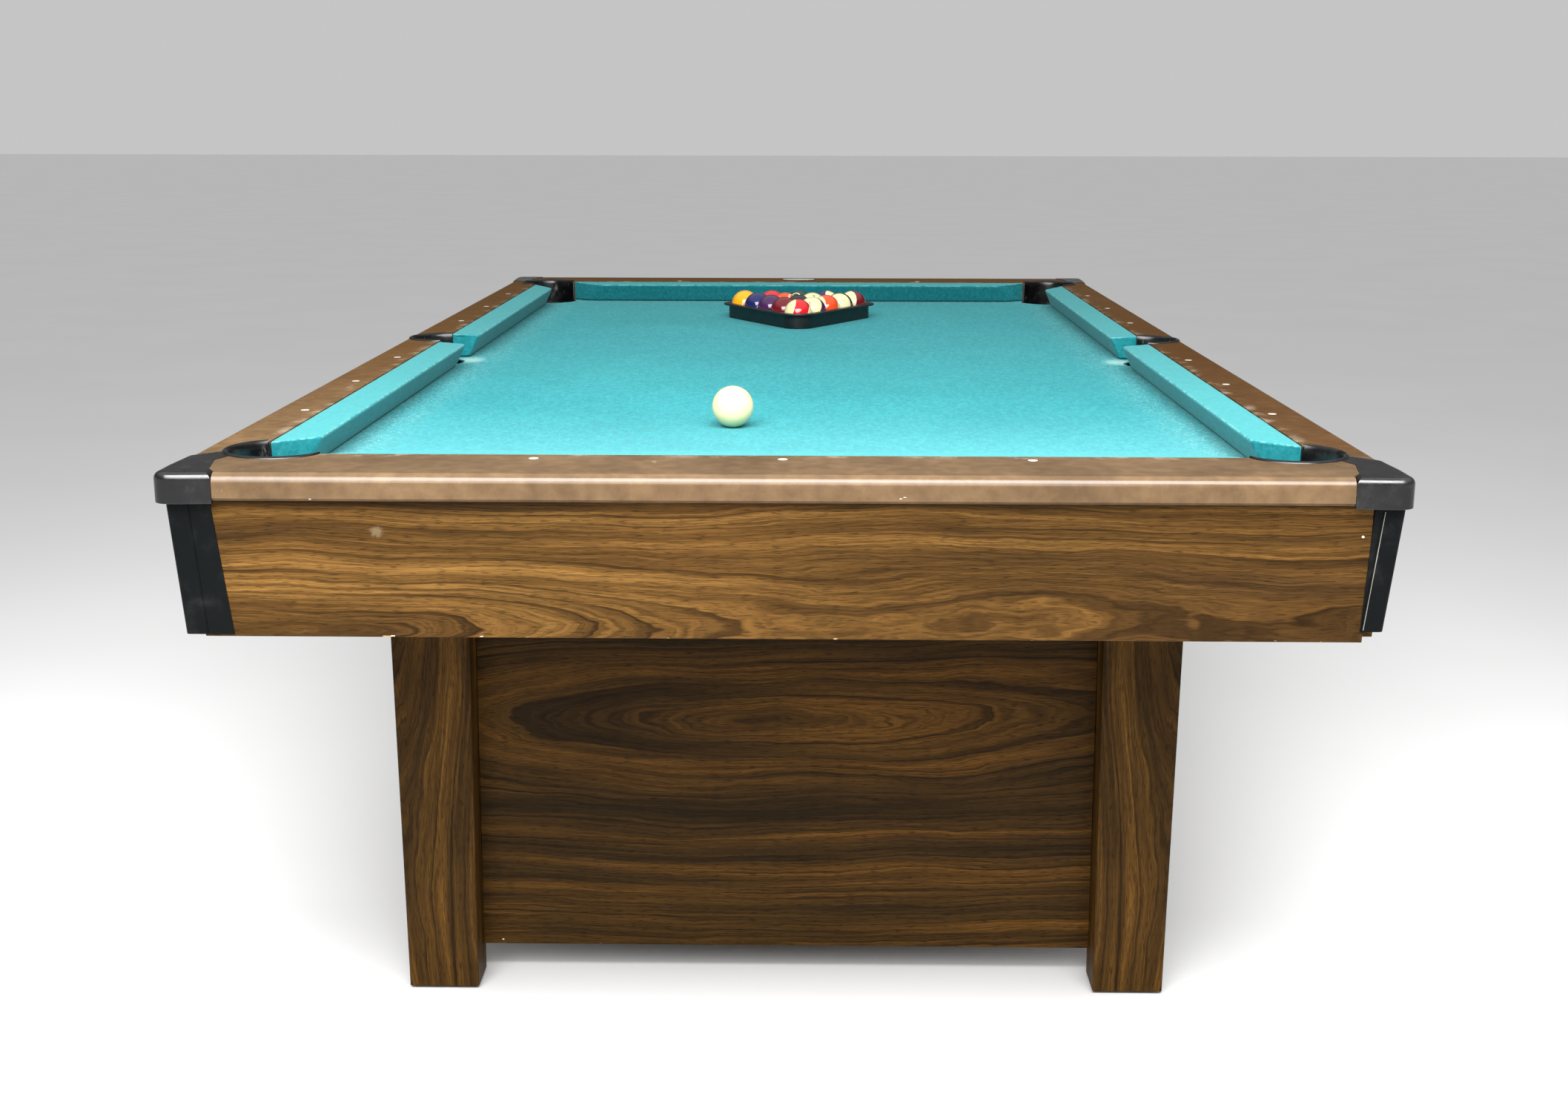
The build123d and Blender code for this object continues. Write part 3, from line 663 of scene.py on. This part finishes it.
def liner(name, node, sx, sy, section, mouth, turn, centre, squash=0.0):
    """A pocket cup. section lists (radius, x offset, z, sinks, low radius) from the inside to the
    outside, and points that sink go down to the low radius at the mouth, which spans mouth degrees
    either side of turn. squash narrows the cup below the wall across the table."""
    count, rows = 180, []
    edge = SIDE_R if squash else POCKET_R
    for i in range(count):
        a = 2 * pi * i / count
        off = abs((a - radians(turn) + pi) % (2 * pi) - pi) - radians(mouth)
        h = 1.0 - min(1.0, max(0.0, off / radians(RAMP)))
        slim = 1.0 - (1.0 - SLIMMEST) * min(1.0, max(0.0, (off + radians(SLIM)) / radians(SLIM))) ** 2
        row = []
        for r, dx, z, sinks, low_r in section:
            thin = squash
            if sinks:
                z = MOUTH_Z + (z - MOUTH_Z) * h
                r = low_r + ((r if r <= edge else edge + (r - edge) * slim) - low_r) * h
                thin = squash * (1 - h if dx else 1)
                dx *= h
            row.append(V(sx * (centre[0] + dx + (r - thin) * cos(a)), sy * (centre[1] + r * sin(a)), z))
        rows.append(row)
    bm = bmesh.new()
    vs = skin(bm, rows, ring=False, wrap=True)
    for j in (0, -1):
        bm.faces.new([row[j] for row in vs])
    piece(name, bm, LINER, "table", node, "pocket_plastic", 40)


def fixed(points):
    """Section points that stay where they are all round the cup."""
    return [(r, 0.0, z, False, r) for r, z in points]


def cup_inside(r_low, r_mid):
    """The bucket below the bed, as (radius, z) from the bottom's middle outwards and up."""
    r, z = r_low - WALL, CUP_LOW + WALL
    return [(r - 12, z), (r - 3.5, z + 1.2), (r - 0.8, z + 4), (r, z + 9), (r_mid - WALL, SLATE_LOW)]


def cup_outside(r_low, r_mid):
    """The bucket's outside, as (radius, z) downwards and back to the middle."""
    return [(r_mid, SLATE_LOW), (r_low + 0.2, CUP_LOW + 7), (r_low - 1.2, CUP_LOW + 2.5),
            (r_low - 4.5, CUP_LOW + 0.3), (r_low - 13, CUP_LOW)]


def lip(r):
    """The rolled rim on a wall of outer radius r, as (radius, z) from its crown to its underside."""
    top, seat, edge = RAIL_TOP + RIM_H, RAIL_TOP + 0.1, r + RIM_W
    return [(r - WALL + 4.4, top - 0.15), (r + 2.2, top), (edge - 2.2, top - 0.5), (edge - 0.6, top - 1.3),
            (edge, seat), (edge - 1.5, seat), (r, seat)]


def liners():
    r, w, below, at_bed = POCKET_R, POCKET_R - WALL, 736.0, 742.5
    rim = [(w, 750), (w + 0.1, 765), (w + 0.3, 778), (w + 0.8, 783), (w + 2.2, 786.6)]
    rim += lip(r) + [(r, 765), (r, 750)]
    corner = fixed(cup_inside(CUP_LOW_R, CUP_MID_R) + [(w, below)]) + [(w, 0.0, at_bed, True, w)]
    corner += [(a, 0.0, z, True, min(a, r)) for a, z in rim]
    corner += [(r, 0.0, at_bed, True, r)] + fixed([(r, below)] + cup_outside(CUP_LOW_R, CUP_MID_R))
    for q, (sx, sy) in QUARTERS.items():
        liner("liner_" + q, "pocket_" + q, sx, sy, corner, 108, 45, (POCKET_X, POCKET_Y))

    # The side cups' wall is a wider ring that stands on a ledge over the oval bucket
    r, w, off, ledge = SIDE_R, SIDE_R - WALL, RAIL_IN_X - SIDE_X, APRON_TOP + 0.6
    b, c = SIDE_CUP_B, SIDE_CUP_B - WALL
    inner = [(w - 2, ledge + 3), (w - 0.5, ledge + 3.6), (w, ledge + 6), (w, 770), (w + 0.3, 780),
             (w + 0.8, 783.5), (w + 2.2, 786.7), lip(r)[0]]
    outer = lip(r)[1:] + [(r, 775), (r, ledge + 1.0), (r - 1.0, ledge)]
    side = fixed(cup_inside(b, b) + [(c, below)])
    side += [(c, 0.0, at_bed, True, c), (c, 0.0, ledge + 1.5, True, c), (c + 1, 0.0, ledge + 2.6, True, c)]
    side += [(a, off, z, True, c) for a, z in inner] + [(a, off, z, True, b) for a, z in outer]
    side += [(b, 0.0, ledge - 0.2, True, b), (b, 0.0, at_bed, True, b)]
    side += fixed([(b, below)] + cup_outside(b, b))
    for q, sx in (("left", -1), ("right", 1)):
        liner("liner_side_" + q, "pocket_side_" + q, sx, 1, side, 92, 0, (SIDE_X, 0.0), SIDE_CUP_B - SIDE_CUP_A)


# ---------------------------------------------------------------- cabinet

TRIM_GAP, TRIM_ROWS = 0.3, 9


def leaning(outer, z):
    """How far out a leaning apron's face is at a height."""
    return outer - APRON_LEAN * (APRON_TOP - z) / (APRON_TOP - APRON_LOW)


def trims():
    """Black corner mouldings: a thin flange on each board and a rounded bead over the corner. The one at the
    head's right is narrow and short, and hangs loose, with a pale strip along its bead's edge that is a painted
    highlight."""
    bm = bmesh.new()
    for q, (sx, sy) in QUARTERS.items():
        loose = q == "head_right"
        top, low = RAIL_LOW - 3.5, APRON_LOW + (13 if loose else 3)
        flanges = (31.0, 22.5) if loose else (46.0, 51.0)
        bead, slip = (20.0, 3.5) if loose else (21.0, 0.0)

        def ring(points, t, z):
            """A level ring of points about the cabinet's corner."""
            ox = leaning(APRON_X, z) + TRIM_GAP + slip * (1 - t)
            oy = leaning(APRON_Y, z) + TRIM_GAP
            return [V(sx * (ox + x), sy * (oy + y), z) for x, y in points]

        moulding, highlight_strip = [], []
        for k in range(TRIM_ROWS):
            t = k / (TRIM_ROWS - 1)
            f = flanges[0] + (flanges[1] - flanges[0]) * t
            pts = [(0, 0), (-f, 0), (-f, 1.4), (-bead - 2.4, 1.4), (-bead - 1.2, 0.9), (-bead, 2.4), (2.4, 2.4),
                   (2.4, -bead), (0.9, -bead - 1.2), (1.4, -bead - 2.4), (1.4, -48), (0, -48)]
            radii = [0, 0, 0.6, 0.5, 0.3, 0.9, 5.0, 0.9, 0.3, 0.5, 0.6, 0]
            moulding.append(ring(fillet(pts, radii, 5), t, top + (low - top) * t))
            # The pale strip along the loose moulding's bead edge is a painted highlight
            w = 0.34 + 0.3 * noise.noise(Vector((k * 1.7, 0.3, 0.2)))
            strip = [(-bead - w, 2.2), (-bead - w, 2.75), (-bead + w, 2.75), (-bead + w, 2.2)]
            highlight_strip.append(ring(strip, t, top - 4 + (low + 6 - top) * t))
        skin(bm, moulding)
        if loose:
            skin(bm, highlight_strip, mat=1)
    piece("corner_mouldings", bm, [TRIM, BEAD_HIGHLIGHT], "table", "apron_trims", "trim_plastic", 40)


def cabinet():
    for n in ("rail_head", "rail_foot", "rail_left", "rail_right"):
        from_cad(n, RAIL, 0.5)
    for q in QUARTERS:
        from_cad("cap_" + q, CAP, 0.5)
        from_cad("leg_" + q, LEG_WOOD, 0.6)
    for n, wood in (("head", APRON_WOOD), ("foot", APRON_WOOD), ("left", SIDE_WOOD), ("right", SIDE_WOOD)):
        from_cad("apron_" + n, wood, 0.7)
    for n in ("panel_head", "panel_foot"):
        from_cad(n, PANEL_WOOD, 0.8)
    for n in ("stringers", "sills", "corner_blocks"):
        from_cad(n, TIMBER, 1.2)
    from_cad("slate_bed", SLATE, 0.8)
    from_cad("frame_bolts", ZINC, 0.35)
    trims()


# Marks on the head end as (x, y, z, half width, half height, thickness). The first is a round nail.
MARKS = [(625.6, -1279.3, 720.2, 1.5, 1.5, 0.9), (-390.1, -859.4, 52.5, 1.6, 0.9, 0.2),
         (-505.8, -1291.2, 758.6, 1.4, 0.5, 0.2), (-428.1, -1271.2, 601.4, 2.6, 0.7, 0.2),
         (-329.9, -1271.2, 601.4, 2.0, 0.7, 0.2), (127.7, -1291.2, 762.0, 1.6, 0.4, 0.2),
         (132.0, -1291.2, 763.5, 1.8, 0.35, 0.2)]


def flecks():
    """Small marks of use: a white nail, paint flecks and chips on the boards."""
    bm, root = bmesh.new(), 0.6
    for i, (x, y, z, w, h, d) in enumerate(MARKS):
        rows = []
        for k, out in ((1.0, 0.0), (0.95, 0.6), (0.7, 0.9), (0.25, 1.0)):
            ring = []
            for ca, sa in circle(1.0, 24):
                r = 1.0 if i == 0 else 1 + 0.35 * noise.noise(Vector((ca * 1.4, sa * 1.4, i * 3.1)))
                ring.append(V(x + w * k * r * ca, y + root - (root + d) * out, z + h * k * r * sa))
            rows.append(ring)
        skin(bm, rows)
    piece("nail_and_flecks", bm, FLECK, "table", (), "walnut_print", 50)


def sights():
    """Domed pearly dots at the eighths of the long rails and the quarters of the end rails."""
    t, r = RAIL_TOP, SIGHT_R
    dot = [(r - 0.5, t - 1.9), (r - 0.05, t - 1.5), (r, t), (r - 0.3, t + 0.16), (r - 1.1, t + 0.26),
           (r - 3.0, t + 0.32), (0.6, t + 0.34)]
    spots = [(s * SIGHT_X, -NOSE_Y + k * 2 * NOSE_Y / 8) for k in (1, 2, 3, 5, 6, 7) for s in (-1, 1)]
    spots += [(k * NOSE_X / 2, -SIGHT_Y) for k in (-1, 0, 1)] + [(k * NOSE_X / 2, SIGHT_Y) for k in (-1, 1)]
    bm = bmesh.new()
    for spot in spots:
        revolve(bm, spot, dot, 40)
    piece("sight_dots", bm, SIGHT, "table", "sights", "sight_pearl", 40)


def nameplate():
    """A blank white oval in a dark edge, with a pin at each end."""
    def oval(k, rise):
        b = PLATE_B * k if k < 0.9 else PLATE_B - PLATE_A * (1 - k)
        return [V(PLATE_A * k * ca, PLATE_Y + b * sa, RAIL_TOP + rise) for ca, sa in circle(1.0, 96)]

    bm = bmesh.new()
    skin(bm, [oval(k, rise) for k, rise in ((1.0, 0.1), (1.0, 0.8), (0.985, 1.15), (0.955, 1.3))], mat=1)
    skin(bm, [oval(k, rise) for k, rise in ((0.94, 1.2), (0.935, 1.38), (0.9, 1.46), (0.6, 1.5))])
    pin = [(1.6, 1.2), (1.6, 1.5), (1.1, 1.68), (0.3, 1.74)]
    for x in (-33, 33):
        revolve(bm, (x, PLATE_Y), [(r, RAIL_TOP + rise) for r, rise in pin], 20)
    piece("blank_plate", bm, [PLATE, PLATE_EDGE], "table", "nameplate", "plate_white", 40)


PAD = [(17.0, 0.0), (18.4, 0.3), (19.0, 1.2), (19.0, 5.6), (18.2, 6.8), (15.5, 7.4), (9.0, 8.0), (2.0, 8.0)]


def levellers():
    for q, (sx, sy) in QUARTERS.items():
        centre = sx * LEG_X, sy * LEG_Y
        bm = bmesh.new()
        revolve(bm, centre, PAD, 64)
        thread(bm, *centre, 7.9, 45.0)
        piece("leveller_screw_" + q, bm, STEEL, "leveller_" + q, "leveller_" + q, "leveller_steel", 40)


def thread(bm, cx, cy, z0, length, pitch=1.5, count=24):
    """A ten millimetre screw thread as one helical skin with flat ends."""
    radii = [4.95, 4.3, 4.05, 4.6]
    per, turns = len(radii), int(length / pitch) - 1
    rows = turns * per + 1
    grid = []
    for i, (ca, sa) in enumerate(circle(1.0, count)):
        heights = [z0 + 0.6 + pitch * (j / per + i / count) for j in range(rows)]
        grid.append([bm.verts.new(V(cx + radii[j % per] * ca, cy + radii[j % per] * sa, z))
                     for j, z in enumerate(heights)])
    for i in range(count - 1):
        for j in range(rows - 1):
            bm.faces.new((grid[i][j], grid[i + 1][j], grid[i + 1][j + 1], grid[i][j + 1]))
    for j in range(rows - 1 - per):
        bm.faces.new((grid[-1][j], grid[0][j + per], grid[0][j + per + 1], grid[-1][j + 1]))
    low = [column[0] for column in grid] + [grid[0][k] for k in range(per, 0, -1)]
    high = [column[-1] for column in grid] + [grid[-1][rows - 1 - k] for k in range(1, per + 1)]
    for ring, z in ((low, z0), (high, z0 + length - 0.2)):
        v = bm.verts.new(V(cx, cy, z))
        for a, b in zip(ring, ring[1:] + ring[:1]):
            bm.faces.new((a, b, v))


# ---------------------------------------------------------------- balls and rack

COLOURS = {1: srgb(247, 170, 16), 2: srgb(24, 30, 88), 3: srgb(206, 26, 34), 4: srgb(66, 28, 76),
           5: srgb(222, 74, 24), 6: srgb(10, 50, 38), 7: srgb(104, 12, 26), 8: srgb(16, 16, 17)}
# Where each ball's number points, as (right, up, towards the head end), and its turn in degrees
FACING = {1: (0.18, 0.0, 0.98), 2: (0.32, -0.08, 0.94), 3: (-0.2, -0.8, 0.4), 4: (-0.7, -0.5, -0.4),
          5: (0.6, 0.65, 0.45), 6: (-0.25, 0.6, 0.75), 7: (0.5, -0.6, -0.6), 8: (0.3, -0.4, -0.8),
          9: (0.1, 0.75, 0.6), 10: (0.8, 0.4, 0.3), 11: (-0.93, 0.33, 0.15), 12: (-0.3, 0.55, 0.75),
          13: (-0.87, 0.1, 0.48), 14: (-0.12, 0.25, 0.95), 15: (-0.7, 0.3, 0.65)}
TURNED = {1: 25, 2: -20, 3: 21, 4: -2, 5: -25, 6: 30, 7: -11, 8: 26, 9: -10, 10: -20, 11: 17, 12: 8,
          13: -29, 14: -12, 15: -15}
# Numbers and rings are inlays that stand INLAY_LIFT proud of the ball and are INLAY_T thick
INLAY_LIFT, INLAY_T, INLAY_EDGE, DIGIT_SIZE, RING_R = 0.05, 0.25, 1.3, 11.5, (9.0, 11.2)


def globe(count=32):
    """A cube sphere of the ball's radius about the origin."""
    bm = bmesh.new()
    bmesh.ops.create_cube(bm, size=2.0)
    bmesh.ops.subdivide_edges(bm, edges=bm.edges, cuts=count - 1, use_grid_fill=True)
    for v in bm.verts:
        x, y, z = v.co
        x2, y2, z2 = x * x, y * y, z * z
        v.co = V(x * sqrt(1 - y2 / 2 - z2 / 2 + y2 * z2 / 3), y * sqrt(1 - z2 / 2 - x2 / 2 + z2 * x2 / 3),
                 z * sqrt(1 - x2 / 2 - y2 / 2 + x2 * y2 / 3)) * BALL_R
    return bm


def onto_ball(x, y, lift):
    """A flat point in millimetres about the ball's +Z pole, wrapped onto the ball."""
    r, d = BALL_R + lift, sqrt(x * x + y * y)
    if d < 1e-9:
        return V(0, 0, r)
    k = r * sin(d / BALL_R) / d
    return V(x * k, y * k, r * cos(d / BALL_R))


def wrap_flat(bm):
    """Turns a flat mesh in millimetres into a thin inlay on the ball."""
    bmesh.ops.triangulate(bm, faces=bm.faces)
    for _ in range(6):
        long = [e for e in bm.edges if e.calc_length() > INLAY_EDGE]
        if not long:
            break
        bmesh.ops.subdivide_edges(bm, edges=long, cuts=1)
        bmesh.ops.triangulate(bm, faces=bm.faces)
    flat = [(v.co.x, v.co.y) for v in bm.verts]
    bm.verts.index_update()
    faces = list({frozenset(v.index for v in f.verts): [v.index for v in f.verts] for f in bm.faces}.values())
    bm.free()
    uses = {}
    for f in faces:
        for a, b in zip(f, f[1:] + f[:1]):
            uses.setdefault(frozenset((a, b)), []).append((a, b))
    out = bmesh.new()
    up = [out.verts.new(onto_ball(x, y, INLAY_LIFT)) for x, y in flat]
    down = [out.verts.new(onto_ball(x, y, INLAY_LIFT - INLAY_T)) for x, y in flat]
    for f in faces:
        out.faces.new([up[i] for i in f])
        out.faces.new([down[i] for i in reversed(f)])
    for a, b in [u[0] for u in uses.values() if len(u) == 1]:
        out.faces.new((up[a], up[b], down[b], down[a]))
    return out


def digits(number, underline):
    """A number as a flat mesh about the origin, with a bar under it if it is to be underlined."""
    curve = bpy.data.curves.new("digits", "FONT")
    curve.body, curve.size, curve.align_x, curve.align_y = str(number), DIGIT_SIZE, "CENTER", "CENTER"
    curve.space_character, curve.fill_mode = 0.95, "FRONT"
    temp = bpy.data.objects.new("digits", curve)
    bpy.context.scene.collection.objects.link(temp)
    mesh = bpy.data.meshes.new_from_object(temp.evaluated_get(bpy.context.evaluated_depsgraph_get()))
    bpy.data.objects.remove(temp)
    bm = bmesh.new()
    bm.from_mesh(mesh)
    bmesh.ops.remove_doubles(bm, verts=bm.verts, dist=1e-4)
    if underline:
        w = DIGIT_SIZE * (0.36 if number > 9 else 0.26)
        y0, y1 = -DIGIT_SIZE * 0.5, -DIGIT_SIZE * 0.58
        bm.faces.new([bm.verts.new((x, y, 0)) for x, y in ((-w, y0), (w, y0), (w, y1), (-w, y1))])
    return bm


def flat_ring():
    bm = bmesh.new()
    skin(bm, [[Vector((x, y, 0)) for x, y in circle(r, 56)] for r in RING_R], cap=False)
    return bm


def joined(meshes):
    out = bmesh.new()
    for bm in meshes:
        mesh = bpy.data.meshes.new("part")
        bm.to_mesh(mesh)
        out.from_mesh(mesh)
        bm.free()
    return out


def ball(name, node, spot, material, number=None):
    """A ball at a spot on the bed. A numbered one carries an inlaid number, with a ring on a plain
    ball, or a second underlined number on the far side of a striped one."""
    base = piece(name, globe(), material, node, node, SLOTS[node], 180)
    stand = Matrix.Translation(V(*spot, BALL_Z))
    if number:
        right, up, head = FACING[number]
        z = Vector((right, -head, up)).normalized()
        x = Vector((0, 0, 1)).cross(z).normalized()
        turn = Matrix.Rotation(radians(TURNED[number]), 3, "Z")
        stand = stand @ (Matrix((x, z.cross(x), z)).transposed() @ turn).to_4x4()
    base.matrix_world = stand
    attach(base, node)
    if not number:
        return
    stripe = number > 8
    marks = [wrap_flat(digits(number, stripe))]
    if stripe:
        back = wrap_flat(digits(number, stripe))
        back.transform(Matrix.Rotation(pi, 4, "X"))
        marks.append(back)
    else:
        marks.append(wrap_flat(flat_ring()))
    ink = INK_DARK if stripe else INK_CREAM
    mark = piece(name + "_number", joined(marks), ink, node, (), SLOTS[node], 60)
    mark.matrix_world = stand
    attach(mark, node)


def balls():
    ball("cue_ball_cream", "cue_ball", CUE_BALL, CUE_RESIN)
    step = BALL_PITCH * sqrt(3) / 2
    for row, numbers in enumerate(RACK_ROWS):
        for i, n in enumerate(numbers):
            stripe, name = n > 8, "ball_resin_%02d" % n
            spot = (APEX[0] + (i - row / 2) * BALL_PITCH, APEX[1] + row * step)
            resin = ball_material(name, COLOURS[n - 8 if stripe else n], stripe)
            ball(name, "ball_%02d" % n, spot, resin, n)


def rack():
    """Moulded triangle: a plain wall with a small foot radius and a flat lip turned outwards."""
    side = BALL_PITCH * sqrt(3) / 2 * 4
    corners = [APEX, (APEX[0] + 2 * BALL_PITCH, APEX[1] + side), (APEX[0] - 2 * BALL_PITCH, APEX[1] + side)]
    path = []
    for k, (x, y) in enumerate(corners):
        turns = [radians(120 * k - 150 + a) for a in range(0, 121, 6)]
        path += [(x, y, cos(t), sin(t)) for t in turns]
        nx, ny = corners[(k + 1) % 3]
        t = turns[-1]
        path += [(x + (nx - x) * f, y + (ny - y) * f, cos(t), sin(t)) for f in (0.2, 0.4, 0.6, 0.8)]
    r, z = BALL_R + 0.5, CLOTH_Z + 0.1
    pts = [(r, z), (r + 5, z), (r + 5, z + 27), (r + 16, z + 27), (r + 16, z + 31), (r, z + 31)]
    section = fillet(pts, [1.2, 1.2, 2.5, 1.5, 1.5, 1.6], 5)
    bm = bmesh.new()
    skin(bm, [[V(x + p.x * cx, y + p.x * cy, p.y) for p in section] for x, y, cx, cy in path], wrap=True)
    piece("rack_moulding", bm, RACK, "rack", "rack", "rack_plastic", 40)


# ---------------------------------------------------------------- studio

# Brightness of the world by the sine of the height above the horizon. The dark band keeps the
# grazing reflections on plastic and resin low.
SKY = ((0.06, 0.56), (0.11, 0.09), (0.42, 0.1), (0.75, 0.85))
FLOOR_HALF = 60


def area(name, loc, aim, size, power, spread=180):
    """A rectangular light at a place in metres, aimed at a point."""
    light = bpy.data.lights.new(name, "AREA")
    light.shape, light.size, light.size_y = "RECTANGLE", size[0], size[1]
    light.energy, light.spread = power, radians(spread)
    obj = bpy.data.objects.new(name, light)
    obj.location = loc
    obj.rotation_euler = (Vector(aim) - Vector(loc)).to_track_quat("-Z", "Y").to_euler()
    bpy.context.scene.collection.objects.link(obj)


def studio():
    scene = bpy.context.scene
    scene.view_settings.view_transform = "Standard"
    world = bpy.data.worlds.new("studio")
    world.use_nodes = True
    tree = world.node_tree
    place, split = tree.nodes.new("ShaderNodeTexCoord"), tree.nodes.new("ShaderNodeSeparateXYZ")
    ramp = tree.nodes.new("ShaderNodeValToRGB")
    tree.links.new(place.outputs["Generated"], split.inputs[0])
    tree.links.new(split.outputs[2], ramp.inputs[0])
    tree.links.new(ramp.outputs[0], tree.nodes["Background"].inputs[0])
    for i, (at, v) in enumerate(SKY):
        e = ramp.color_ramp.elements[i] if i < 2 else ramp.color_ramp.elements.new(at)
        e.position, e.color = at, (v, v, v, 1)
    scene.world = world
    area("softbox", (0.0, -2.3, 2.45), (0.0, -1.05, 0.75), (3.0, 1.3), 70, 104)
    area("front", (-0.4, -3.9, 2.2), (0.0, -1.0, 0.4), (2.6, 1.2), 75)
    bm = bmesh.new()
    bmesh.ops.create_grid(bm, x_segments=8, y_segments=8, size=FLOOR_HALF)
    mesh = bpy.data.meshes.new("floor")
    bm.to_mesh(mesh)
    bm.free()
    floor = bpy.data.objects.new("floor", mesh)
    scene.collection.objects.link(floor)
    s = Shader("floor_paint", Roughness=0.9, Specular_IOR_Level=0.0)
    s.set("Base Color", s.greys(s.noise(s.place, 1.5), 0.3, 0.79, 0.7, 0.81))
    mesh.materials.append(s.mat)


# Camera place in metres, turns in radians, and focal length as a share of the picture's width
EYE, PITCH, YAW, ROLL, FOCAL, SENSOR = (0.0316, -3.2571, 1.1561), 0.2304, -0.0145, 0.0019, 2530.17 / 2115, 36


def camera():
    ahead = Vector((sin(YAW) * cos(PITCH), cos(YAW) * cos(PITCH), -sin(PITCH)))
    level = Vector((cos(YAW), -sin(YAW), 0))
    above = level.cross(ahead)
    right = level * cos(ROLL) + above * sin(ROLL)
    up = above * cos(ROLL) - level * sin(ROLL)
    data = bpy.data.cameras.new("camera")
    data.lens, data.sensor_width = SENSOR * FOCAL, SENSOR
    obj = bpy.data.objects.new("camera", data)
    place = Matrix((right, up, -ahead)).transposed().to_4x4()
    place.translation = EYE
    obj.matrix_world = place
    bpy.context.scene.collection.objects.link(obj)
    bpy.context.scene.camera = obj


cushions()
bed_cloth()
liners()
cabinet()
sights()
nameplate()
flecks()
levellers()
balls()
rack()
studio()
camera()
